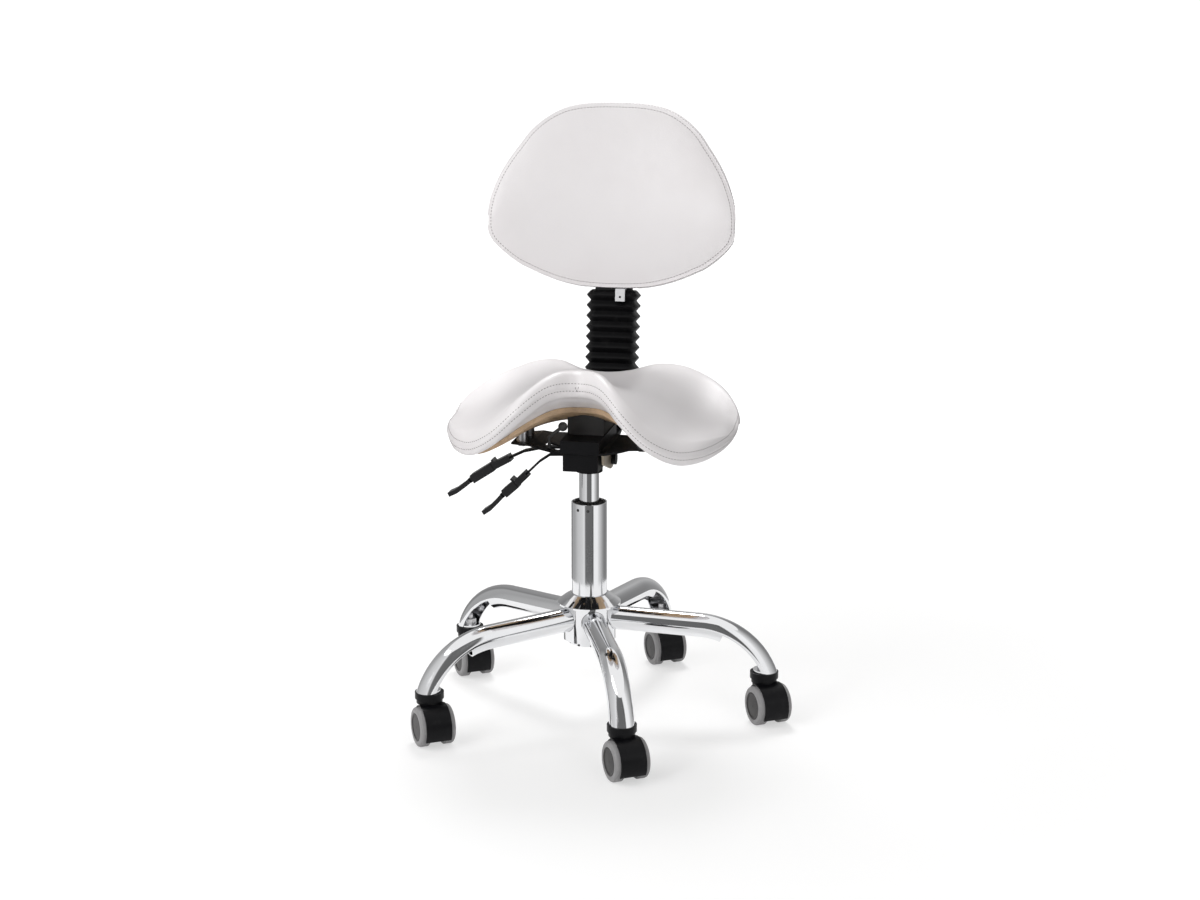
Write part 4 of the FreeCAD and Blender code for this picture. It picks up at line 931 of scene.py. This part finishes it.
@dataclass
class SaddleSeat(Pad):
    """The saddle cushion: pommel, two thigh lobes, dished middle and a sewn edge."""

    half_width: float = 0.203
    body: str = "seat"
    node: str = "seat_cushion"
    title: str = "saddle_cover"
    fill: float = 0.9
    thickness: float = 0.04
    edge_drop: float = 0.01
    nose: tuple[float, float] = (0.03, 0.017)
    tail: tuple[float, float] = (0.028, 0.015)
    tuck: float = 0.014
    span: tuple[float, ...] = (0.0, 0.17, 0.345, 0.517, 0.69, 0.837, 0.936, 1.0)
    front: tuple[float, ...] = (-80, -104, -137, -139, -119, -88, -45, 20)
    back: tuple[float, ...] = (130, 134, 158, 172, 168, 137, 99, 46)
    roll: float = 0.006
    roll_reach: float = 0.038
    front_seam: tuple[float, ...] = (489, 488, 463, 432, 411, 407, 409, 415)
    middle: tuple[float, ...] = (471, 470.5, 465, 450, 434, 426, 423, 418)
    back_seam: tuple[float, ...] = (456, 459, 465, 461, 450, 440, 431, 420)

    def half_count(self) -> int:
        """Points from the front seam over the top to the back edge."""
        return 52

    def value(self, run: Sequence[float], share: float) -> float:
        """One saddle value, in metres."""
        return Spread(self.span, run).at(share) * MM

    def ring(self, share: float) -> list[Vector]:
        """Six arcs: front roll, top, back roll, back edge, underside, front edge.

        Args:
            share: place across the seat, from -1 to 1.

        Returns:
            The section's points.
        """
        share = max(-1.0, min(1.0, share))
        x = self.half_width * share
        full = math.sqrt(max(1 - abs(share) ** 6, 0.0))
        front = self.value(self.front, share)
        back = self.value(self.back, share)
        front_z = self.value(self.front_seam, share)
        back_z = self.value(self.back_seam, share)
        middle = self.value(self.middle, share)
        drop = self.edge_drop * full
        length = back - front
        tuck = self.tuck * full
        nose, tail = (min(reach * full, 0.3 * length) for reach in (self.nose[0], self.tail[0]))
        nose_rise, tail_rise = self.nose[1] * full, self.tail[1] * full
        centre = (front + back) / 2
        seam_front = Vector((x, front, front_z))
        seam_back = Vector((x, back, back_z))
        crest_front = Vector((x, front + nose, front_z + nose_rise))
        crest_back = Vector((x, back - tail, back_z + tail_rise))
        low_back = Vector((x, back - tuck, back_z - drop))
        low_front = Vector((x, front + tuck, front_z - drop))
        spots = arc(
            seam_front, Vector((x, front + nose * 0.25, front_z + nose_rise * 0.72)), crest_front, 9)
        spots += arc(crest_front, Vector((x, centre, middle)), crest_back, 34)
        spots += arc(
            crest_back, Vector((x, back - tail * 0.25, back_z + tail_rise * 0.72)), seam_back, 9)
        spots += arc(
            seam_back, Vector((x, back - tuck * 0.29, back_z - drop * 0.71)), low_back, 8)
        spots += arc(low_back, Vector((x, centre, middle - self.thickness * full)), low_front, 36)
        spots += arc(
            low_front, Vector((x, front + tuck * 0.29, front_z - drop * 0.71)), seam_front, 8)
        for spot in spots[self.half_count():]:
            inwards = min(spot.y - front, back - spot.y, self.roll_reach) / self.roll_reach
            spot.z -= self.roll * full * math.sin(math.pi * max(inwards, 0.0) ** 0.6)
        return spots

    def outward(self, point: Vector, run: Vector, middle: Vector) -> Vector:
        """Horizontal direction away from the seat's middle, square to the seam."""
        flat = Vector((run.y, -run.x, 0.0)).normalized()
        return flat if flat.dot(point - middle) > 0 else -flat

    def channels(self) -> tuple[int, ...]:
        """The front and back edge."""
        return 0, self.half_count()

    def resting(self) -> range:
        """The underside."""
        return range(62, 95)

    def rows(self, seam: Sequence[Vector], tree: BVHTree) -> dict[str, Line]:
        """A row above the seam, one below it and the short seam at the nose.

        Args:
            seam: the closed seam.
            tree: the cover's surface.

        Returns:
            Lines by name.
        """
        up = Vector((0, 0, 1))
        return {
            "saddle_stitch_top": self.beside(seam, tree, lambda p, o: up * 0.0052 - o * 0.0026),
            "saddle_stitch_low": self.beside(seam, tree, lambda p, o: up * -0.0040 - o * 0.0028),
            "saddle_nose_stitch": self.nose_seam(tree),
        }

    def nose_seam(self, tree: BVHTree) -> Line:
        """Short upright seam across the edge band at the middle of the front.

        Args:
            tree: the cover's surface.

        Returns:
            The seam's line.
        """
        line = Line(closed=False)
        top = self.front_seam[0] * MM
        for step in range(7):
            share = step / 6
            spot, normal, _, _ = tree.find_nearest(
                Vector((0.0, self.front[0] * MM - 0.01, top + 0.009 - 0.018 * share)))
            line.points.append(spot)
            line.normals.append(normal)
        return line


@dataclass
class BackPad(Pad):
    """The backrest cushion, in the leaning frame of its bar."""

    half_width: float = 0.1785
    body: str = "back_pad"
    node: str = "back_cushion"
    title: str = "backrest_cover"
    fill: float = 0.85
    lean: float = 7.8
    foot: tuple[float, float] = (0.151, 0.381)
    base: float = 0.205
    ahead: float = 0.022
    wrap: float = 0.021
    thickness: float = 0.046
    rear_round: float = 0.013
    crown: float = 0.009
    swell: float = 0.002
    pocket: tuple[float, float, float] = (0.076, 0.0206, 0.15)
    pocket_front: float = -0.0123
    span: tuple[float, ...] = (0.0, 0.25, 0.42, 0.56, 0.68, 0.75, 0.89, 0.97, 1.0)
    height: float = 260.0
    tall: float = 266.0
    top: tuple[float, ...] = (266, 264, 257, 243, 223.5, 206, 167, 132, 101)
    bottom: tuple[float, ...] = (0, 2, 8, 16.5, 26, 32, 51, 67, 84)

    def half_count(self) -> int:
        """Points from the lower front seam over the front to the upper one."""
        return 64

    def upright(self, x: float, depth: float, along: float) -> Vector:
        """A point given in the bar's leaning frame.

        Args:
            x: across.
            depth: behind the bar's centre plane.
            along: up the bar.

        Returns:
            The point in the row frame.
        """
        angle = math.radians(self.lean)
        y = self.foot[0] + along * math.sin(angle) + depth * math.cos(angle)
        z = self.foot[1] + along * math.cos(angle) - depth * math.sin(angle)
        return Vector((x, y, z))

    def ring(self, share: float) -> list[Vector]:
        """Six arcs: crowned front, top band, rear round, back, rear round, lower band.

        Args:
            share: place across the pad, from -1 to 1.

        Returns:
            The section's points.
        """
        share = max(-1.0, min(1.0, share))
        x = self.half_width * share
        full = math.sqrt(max(1 - abs(share) ** 6, 0.0))
        unit = MM * self.height / self.tall
        top = self.base + Spread(self.span, self.top).at(share) * unit
        low = self.base + Spread(self.span, self.bottom).at(share) * unit
        front = -self.ahead - self.wrap * share * share
        tall = top - low
        crown = self.crown * full
        soft = min(self.rear_round * full, 0.3 * tall)
        bulge = min(self.swell * full, 0.03 * tall)
        rear = front + self.thickness * full
        shoulder = rear - soft
        k = soft * (1 - math.sqrt(0.5))
        back_swell = min(0.003 * full, 0.04 * tall)
        middle = (top + low) / 2

        def at(depth: float, along: float) -> Vector:
            """A point of this section."""
            return self.upright(x, depth, along)

        spots = arc(at(front, low), at(front - crown, middle), at(front, top), 64)
        spots += arc(at(front, top), at((front + shoulder) / 2, top + bulge), at(shoulder, top), 8)
        spots += arc(at(shoulder, top), at(rear - k, top - k), at(rear, top - soft), 8)
        spots += arc(at(rear, top - soft), at(rear + back_swell, middle), at(rear, low + soft), 32)
        spots += arc(at(rear, low + soft), at(rear - k, low + k), at(shoulder, low), 8)
        spots += arc(at(shoulder, low), at((front + shoulder) / 2, low - bulge), at(front, low), 8)
        return spots

    def outward(self, point: Vector, run: Vector, middle: Vector) -> Vector:
        """Direction in the pad's plane away from its middle, square to the seam."""
        facing = self.upright(0, -1, 0) - self.upright(0, 0, 0)
        flat = run.cross(facing).normalized()
        return flat if flat.dot(point - middle) > 0 else -flat

    def channels(self) -> tuple[int, ...]:
        """Both edges of the front, and a channel a little way round each band."""
        half = self.half_count()
        return 0, half, half + 3, -3

    def resting(self) -> range:
        """The back, which is stretched over its board."""
        return range(82, 111)

    def rows(self, seam: Sequence[Vector], tree: BVHTree) -> dict[str, Line]:
        """A row on the front beside the seam and one on the band.

        Args:
            seam: the closed seam.
            tree: the cover's surface.

        Returns:
            Lines by name.
        """
        facing = self.upright(0, -1, 0) - self.upright(0, 0, 0)
        return {
            "back_stitch_front": self.beside(seam, tree, lambda p, o: facing * 0.003 - o * 0.0042),
            "back_stitch_band": self.beside(seam, tree, lambda p, o: facing * -0.0042 + o * 0.002),
        }

    def open_up(self, cover: bpy.types.Object) -> None:
        """Open the slot in the lower edge that the slider goes up into.

        Args:
            cover: the closed pad.
        """
        width, depth, tall = self.pocket
        build = bmesh.new()
        bmesh.ops.create_cube(build, size=1.0)
        margin = 0.06
        for vert in build.verts:
            x = vert.co.x * width
            y = self.pocket_front + (vert.co.y + 0.5) * depth
            along = self.base - margin + (vert.co.z + 0.5) * (tall + margin)
            vert.co = self.upright(x, y, along)
        cutter = to_object("pocket_cutter", build, COVER)
        change = cover.modifiers.new("pocket", "BOOLEAN")
        change.operation = "DIFFERENCE"
        change.solver = "EXACT"
        change.object = cutter
        graph = bpy.context.evaluated_depsgraph_get()
        cut = bpy.data.meshes.new_from_object(cover.evaluated_get(graph))
        cover.modifiers.clear()
        cover.data = cut
        shade(cut, 60.0)
        bpy.data.objects.remove(cutter)


@dataclass
class RibbedBoot:
    """Rubber boot round the upright: ribs, a cuff at each end, slots for bar and sleeve."""

    pad: BackPad
    start: float = 0.05
    ribs: int = 10
    pitch: float = 0.015
    width: float = 0.077
    depth: float = 0.05
    rib: float = 0.0065
    corner: float = 0.016
    per_rib: int = 10
    bar: tuple[float, float] = (0.0406, 0.0066)
    sleeve: tuple[float, float] = (0.0526, 0.0166)

    def outline(self, inset: float, along: float, per_corner: int = 7) -> list[Vector]:
        """Rounded oblong round the upright.

        Args:
            inset: how far inside the ribs' crests.
            along: place up the bar.
            per_corner: points in each corner.

        Returns:
            The ring.
        """
        radius = max(self.corner - inset, 0.004)
        across = self.width / 2 - inset - radius
        deep = self.depth / 2 - inset - radius
        spots = []
        for quarter, (sx, sy) in enumerate(((1, 1), (-1, 1), (-1, -1), (1, -1))):
            for step in range(per_corner):
                turn = math.radians(90 * quarter + 90 * step / (per_corner - 1))
                spots.append(self.pad.upright(
                    sx * across + radius * math.cos(turn), sy * deep + radius * math.sin(turn), along))
        return spots

    def oblong(self, size: tuple[float, float], along: float, per_corner: int = 7) -> list[Vector]:
        """Sharp oblong with as many points as the outline.

        Args:
            size: across and deep.
            along: place up the bar.
            per_corner: points in each corner.

        Returns:
            The ring.
        """
        half_x, half_y = size[0] / 2, size[1] / 2
        spots = []
        for sx, sy in ((1, 1), (-1, 1), (-1, -1), (1, -1)):
            for step in range(per_corner):
                slide = (step / (per_corner - 1) - 0.5) * 0.001
                spots.append(self.pad.upright(
                    sx * half_x - sx * slide, sy * half_y + sy * slide, along))
        return spots

    def build(self) -> list[bpy.types.Object]:
        """Make the boot, from the bar up to the sleeve under the backrest.

        Returns:
            The piece.
        """
        end = self.start + self.pitch * self.ribs
        rings = [
            self.oblong(self.bar, self.start + 0.003),
            self.oblong(self.bar, self.start + 0.0003),
            self.outline(self.rib + 0.001, self.start),
            self.outline(self.rib, self.start + 0.0012),
        ]
        for number in range(1, self.ribs * self.per_rib):
            share = (number % self.per_rib) / self.per_rib
            height = 1 - abs(2 * share - 1)
            lift = height ** 1.15 if height < 0.8 else 0.8 ** 1.15 + (height - 0.8) * 0.75
            rings.append(self.outline(
                self.rib * (1 - lift), self.start + self.pitch * number / self.per_rib))
        rings += [
            self.outline(self.rib, end - 0.0012),
            self.outline(self.rib + 0.001, end),
            self.oblong(self.sleeve, end - 0.0003),
            self.oblong(self.sleeve, end - 0.004),
        ]
        build = bmesh.new()
        skin_rings(build, rings, cap=False)
        boot = to_object("ribbed_boot", build, BOOT, sharp=50.0)
        thick = boot.modifiers.new("wall", "SOLIDIFY")
        thick.thickness = 0.0009
        thick.offset = -1
        graph = bpy.context.evaluated_depsgraph_get()
        boot.data = bpy.data.meshes.new_from_object(boot.evaluated_get(graph))
        boot.modifiers.clear()
        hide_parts("bellows")
        tuple(self.pad.upright(0, 0, self.start + 0.004))
        tuple(self.pad.upright(0, 0, end - 0.005))
        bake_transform(boot)
        return [boot]


# Rigid sub-assemblies, which keep their shapes from the frame


class Side(enum.Enum):
    """The two wheels of a caster."""

    LEFT = "left"
    RIGHT = "right"


class Handle(enum.Enum):
    """The two levers."""

    HEIGHT = "height"
    TILT = "tilt"


@dataclass
class SubAssembly:
    """Rigid nodes that belong together, and the small pieces that scene.py adds to them."""

    def finishes(self) -> dict[str, Finish]:
        """The finish of each node."""
        raise NotImplementedError

    def dress(self) -> None:
        """Give each node its finish."""
        for name, finish in self.finishes().items():
            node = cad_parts[name]
            if not node.material_slots:
                node.data.materials.append(finish.material())
            for place in node.material_slots:
                place.material = finish.material()
            LOG.info("dressed %s in %s", name, finish.name)

    def build(self) -> list[bpy.types.Object]:
        """Dress the nodes; most sub-assemblies add nothing.

        Returns:
            The pieces added.
        """
        self.dress()
        return []


@dataclass
class StarBase(SubAssembly):
    """Hub with bent tubular arms and the casters' stems."""

    arms: int = 5

    def finishes(self) -> dict[str, Finish]:
        """Chrome, with zinc fasteners."""
        chromed = ["hub", "hub_collar"] + [f"arm_{number + 1}" for number in range(self.arms)]
        return {**dict.fromkeys(chromed, CHROME), "caster_stems": ZINC, "stem_nuts": ZINC}


@dataclass
class Casters(SubAssembly):
    """Hooded twin-wheel casters."""

    count: int = 5

    def finishes(self) -> dict[str, Finish]:
        """Black hoods, dark wheel cores and grey treads.

        Returns:
            Finishes by node.
        """
        worn: dict[str, Finish] = {}
        for number in range(1, self.count + 1):
            worn[f"caster_hood_{number}"] = HOOD
            for side in Side:
                worn[f"wheel_{number}_{side.value}"] = WHEEL
                worn[f"tyre_{number}_{side.value}"] = TREAD
        return worn


@dataclass
class GasLift(SubAssembly):
    """Tube, bush, rod and cylinder, with the tube's punched dots and the bush's screws."""

    tube_radius: float = 0.025
    dot_height: float = 0.302
    dot_radius: float = 0.0021
    dot_rise: float = 0.0004
    dot_headings: tuple[float, ...] = (-117.2, -82.1)
    bush_top: float = 0.3095
    screws: tuple[tuple[float, float], ...] = ((172.8, 0.0218), (47.0, 0.0218))
    screw_radius: float = 0.0015
    screw_rise: float = 0.0011

    def finishes(self) -> dict[str, Finish]:
        """Chrome outside, zinc inside and a black bush.

        Returns:
            Finishes by node.
        """
        inside = ("thrust_bearing", "piston_rod", "retaining_clip", "valve_pin")
        return {
            "column_tube": CHROME, "gas_cylinder": CHROME, "column_bush": PLASTIC,
            **dict.fromkeys(inside, ZINC),
        }

    def button(
        self, build: bmesh.types.BMesh, foot: Vector, up: Vector, radius: float, high: float
    ) -> None:
        """Add a low domed button with a rounded rim and a dimple.

        Args:
            build: the mesh to add to.
            foot: middle of its underside.
            up: where it faces.
            radius: its radius.
            high: its height.
        """
        side = up.orthogonal().normalized()
        other = up.cross(side)
        profile = [(0.97, -0.4), (1.0, 0.35), (0.93, 0.75), (0.72, 1.0), (0.42, 0.98), (0.3, 0.35),
                   (0.05, 0.3)]
        rings = []
        for reach, lift in profile:
            middle = foot + up * high * lift
            rings.append([
                middle + (side * math.cos(turn) + other * math.sin(turn)) * radius * reach
                for turn in (math.radians(15 * step) for step in range(24))
            ])
        skin_rings(build, rings)

    def build(self) -> list[bpy.types.Object]:
        """Dress the nodes and make the dots and the screws.

        Returns:
            The pieces added.
        """
        self.dress()
        dots = bmesh.new()
        for heading in self.dot_headings:
            out = Matrix.Rotation(math.radians(heading), 3, "Z") @ Vector((1, 0, 0))
            foot = out * self.tube_radius + Vector((0, 0, self.dot_height))
            self.button(dots, foot, out, self.dot_radius, self.dot_rise)
        heads = bmesh.new()
        for heading, reach in self.screws:
            out = Matrix.Rotation(math.radians(heading), 3, "Z") @ Vector((reach, 0, 0))
            foot = out + Vector((0, 0, self.bush_top))
            self.button(heads, foot, Vector((0, 0, 1)), self.screw_radius, self.screw_rise)
        pieces = [
            to_object("tube_dots", dots, PLASTIC, 40.0), to_object("bush_screws", heads, ZINC, 40.0)]
        for piece, slot in zip(pieces, ("black_plastic", "plated_steel")):
            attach(piece, "base")
        return pieces


@dataclass
class Mechanism(SubAssembly):
    """Housing on the cylinder with its pins."""

    def finishes(self) -> dict[str, Finish]:
        """Black coat and a zinc pin."""
        return {"mech_housing": COAT, "tilt_pins": COAT, "back_pin": ZINC}


@dataclass
class Lever(SubAssembly):
    """One flat lever with its moulded grip."""

    handle: Handle

    def finishes(self) -> dict[str, Finish]:
        """Black coat and a glossier grip."""
        return {f"{self.handle.value}_lever": COAT, f"{self.handle.value}_grip": GRIP}


@dataclass
class SeatCarrier(SubAssembly):
    """Plate, bracket, rod, spacer, bolts and plywood shell under the cushion."""

    def finishes(self) -> dict[str, Finish]:
        """Black plate, yellow bracket, bare plywood.

        Returns:
            Finishes by node.
        """
        return {
            "seat_plate": COAT, "tilt_bracket": BRONZE, "release_rod": PLASTIC,
            "spacer_block": PLASTIC, "seat_bolts": ZINC, "seat_shell": PLY,
        }


@dataclass
class BackCarrier(SubAssembly):
    """Flat bar, sliding sleeve and the tab under the backrest."""

    def finishes(self) -> dict[str, Finish]:
        """Black bar and sleeve, zinc tab."""
        return {"back_bar": COAT, "back_slider": PLASTIC, "back_tab": ZINC}


# Studio


@dataclass
class Studio:
    """Camera, lamps, pale floor and the screen that chrome mirrors."""

    camera_place: Vector = field(default_factory=lambda: Vector((0.6359, -3.0440, 1.1515)))
    pitch: float = 13.867
    yaw: float = 0.279
    turn: float = 11.8
    lens: float = 69.075
    room: float = 0.36
    near_glow: float = 0.42
    screen_ring: float = 0.62
    screen_top: float = 0.7
    tones: tuple[tuple[float, float], ...] = (
        (-180, 0.35), (-150, 0.3), (-136, 0.24), (-126, 0.42), (-106, 0.4), (-76, 0.62), (-45, 0.72),
        (-31, 0.85), (-24, 0.2), (-19, 0.16), (19, 0.15), (26, 0.1), (29, 1.0), (53, 1.0), (63, 0.78),
        (80, 0.54), (100, 0.3), (124, 0.2), (138, 0.3), (158, 0.5), (180, 0.35))

    def build(self) -> None:
        """Make everything that isn't the stool."""
        self.camera()
        self.world()
        self.floor()
        self.lamps()
        self.screen()
        bpy.context.scene.view_settings.view_transform = "Standard"

    def camera(self) -> None:
        """Place the camera where the photograph was taken from."""
        pitch, yaw = math.radians(self.pitch), math.radians(self.yaw)
        ahead = Vector((math.sin(yaw) * math.cos(pitch), math.cos(yaw) * math.cos(pitch), -math.sin(pitch)))
        ahead = Matrix.Rotation(math.radians(self.turn), 3, "Z") @ ahead
        lens = bpy.data.cameras.new("view")
        lens.lens = self.lens
        lens.sensor_width = 36.0
        lens.sensor_fit = "HORIZONTAL"
        lens.clip_end = 200.0
        made = bpy.data.objects.new("view", lens)
        made.location = self.camera_place
        made.rotation_euler = ahead.to_track_quat("-Z", "Y").to_euler()
        bpy.context.scene.collection.objects.link(made)
        bpy.context.scene.camera = made

    def world(self) -> None:
        """Soft grey light, seen as white by the camera and by mirrors."""
        world, board = bare_material("studio", bpy.data.worlds.new("studio"))
        bpy.context.scene.world = world
        strength = board.looked_at() * (1.0 - self.room) + self.room
        light = board.node(
            "ShaderNodeBackground", {}, {"Color": (1.0, 0.995, 0.99), "Strength": strength})
        board.node("ShaderNodeOutputWorld", {}, {"Surface": light})

    def floor(self) -> None:
        """Wide pale floor that keeps a faint shadow."""
        build = bmesh.new()
        bmesh.ops.create_grid(build, x_segments=1, y_segments=1, size=40.0)
        material, board = bare_material("pale_floor")
        away = board.node("ShaderNodeVectorMath", {"operation": "LENGTH"}, {0: board.place()}, "Value")
        share = away.step(0.6, 1.9) * (1.0 - self.near_glow) + self.near_glow
        matt = board.node("ShaderNodeBsdfDiffuse", {}, {"Color": (0.86, 0.86, 0.86)})
        glow = board.node("ShaderNodeEmission", {}, {"Color": (1.0, 1.0, 1.0), "Strength": 1.3})
        mixed = board.node("ShaderNodeMixShader", {}, {0: board.looked_at() * share, 1: matt, 2: glow})
        board.node("ShaderNodeOutputMaterial", {}, {"Surface": mixed})
        made = to_object("studio_floor", build, material)
        made.location.z = -0.0002

    def lamps(self) -> None:
        """Four soft boxes."""
        for name, place, aim, size, power in (
            ("key", (-1.9, -1.7, 2.4), (0, 0, 0.55), 2.2, 36.0),
            ("front", (-1.35, -2.6, 1.3), (0, 0, 0.65), 0.6, 13.0),
            ("fill", (2.2, -2.2, 1.7), (0, 0, 0.55), 1.2, 11.0),
            ("rear", (-0.32, 1.5, 2.7), (0, 0, 0.4), 0.9, 42.0),
        ):
            lamp = bpy.data.lights.new(name, "AREA")
            lamp.shape = "SQUARE"
            lamp.size = size
            lamp.energy = power
            made = bpy.data.objects.new(name, lamp)
            made.location = place
            made.rotation_euler = (Vector(aim) - Vector(place)).to_track_quat("-Z", "Y").to_euler()
            bpy.context.scene.collection.objects.link(made)

    def screen(self) -> None:
        """Round screen that only mirrors see, with the studio's dark and bright bands."""
        material, board = bare_material("studio_screen")
        ahead, sideways = (
            board.node("ShaderNodeSeparateXYZ", {}, {0: board.place()}, axis) for axis in "XY")
        share = sideways.math("ARCTAN2", sideways, ahead) * (0.5 / math.pi) + 0.5
        stops = [((angle + 180) / 360, (tone, tone, tone)) for angle, tone in self.tones]
        tone = board.node("ShaderNodeValToRGB", {"ramp": stops}, {"Fac": share})
        glow = board.node("ShaderNodeEmission", {}, {"Color": tone})
        board.node("ShaderNodeOutputMaterial", {}, {"Surface": glow})
        build = bmesh.new()
        rings = []
        for height in (0.01, self.screen_top):
            rings.append([
                Vector((math.cos(turn), math.sin(turn), 0)) * self.screen_ring + Vector((0, 0, height))
                for turn in (math.radians(3 * step) for step in range(120))
            ])
        skin_rings(build, rings, cap=False)
        made = to_object("studio_screen", build, material)
        made.rotation_euler.z = math.radians(self.turn - 90.0)
        made.visible_camera = False
        made.visible_diffuse = False
        made.visible_shadow = False


def main() -> None:
    """Build the studio, then dress the stool piece by piece."""
    logging.basicConfig(level=logging.INFO)
    Studio().build()
    backrest = BackPad()
    assemblies = (
        StarBase(), Casters(), GasLift(), Mechanism(), *(Lever(handle) for handle in Handle),
        SeatCarrier(), BackCarrier(), SaddleSeat(), backrest, RibbedBoot(backrest))
    for assembly in assemblies:
        for piece in assembly.build():
            LOG.info("made %s", piece.name)


if __name__ == "__main__":
    main()
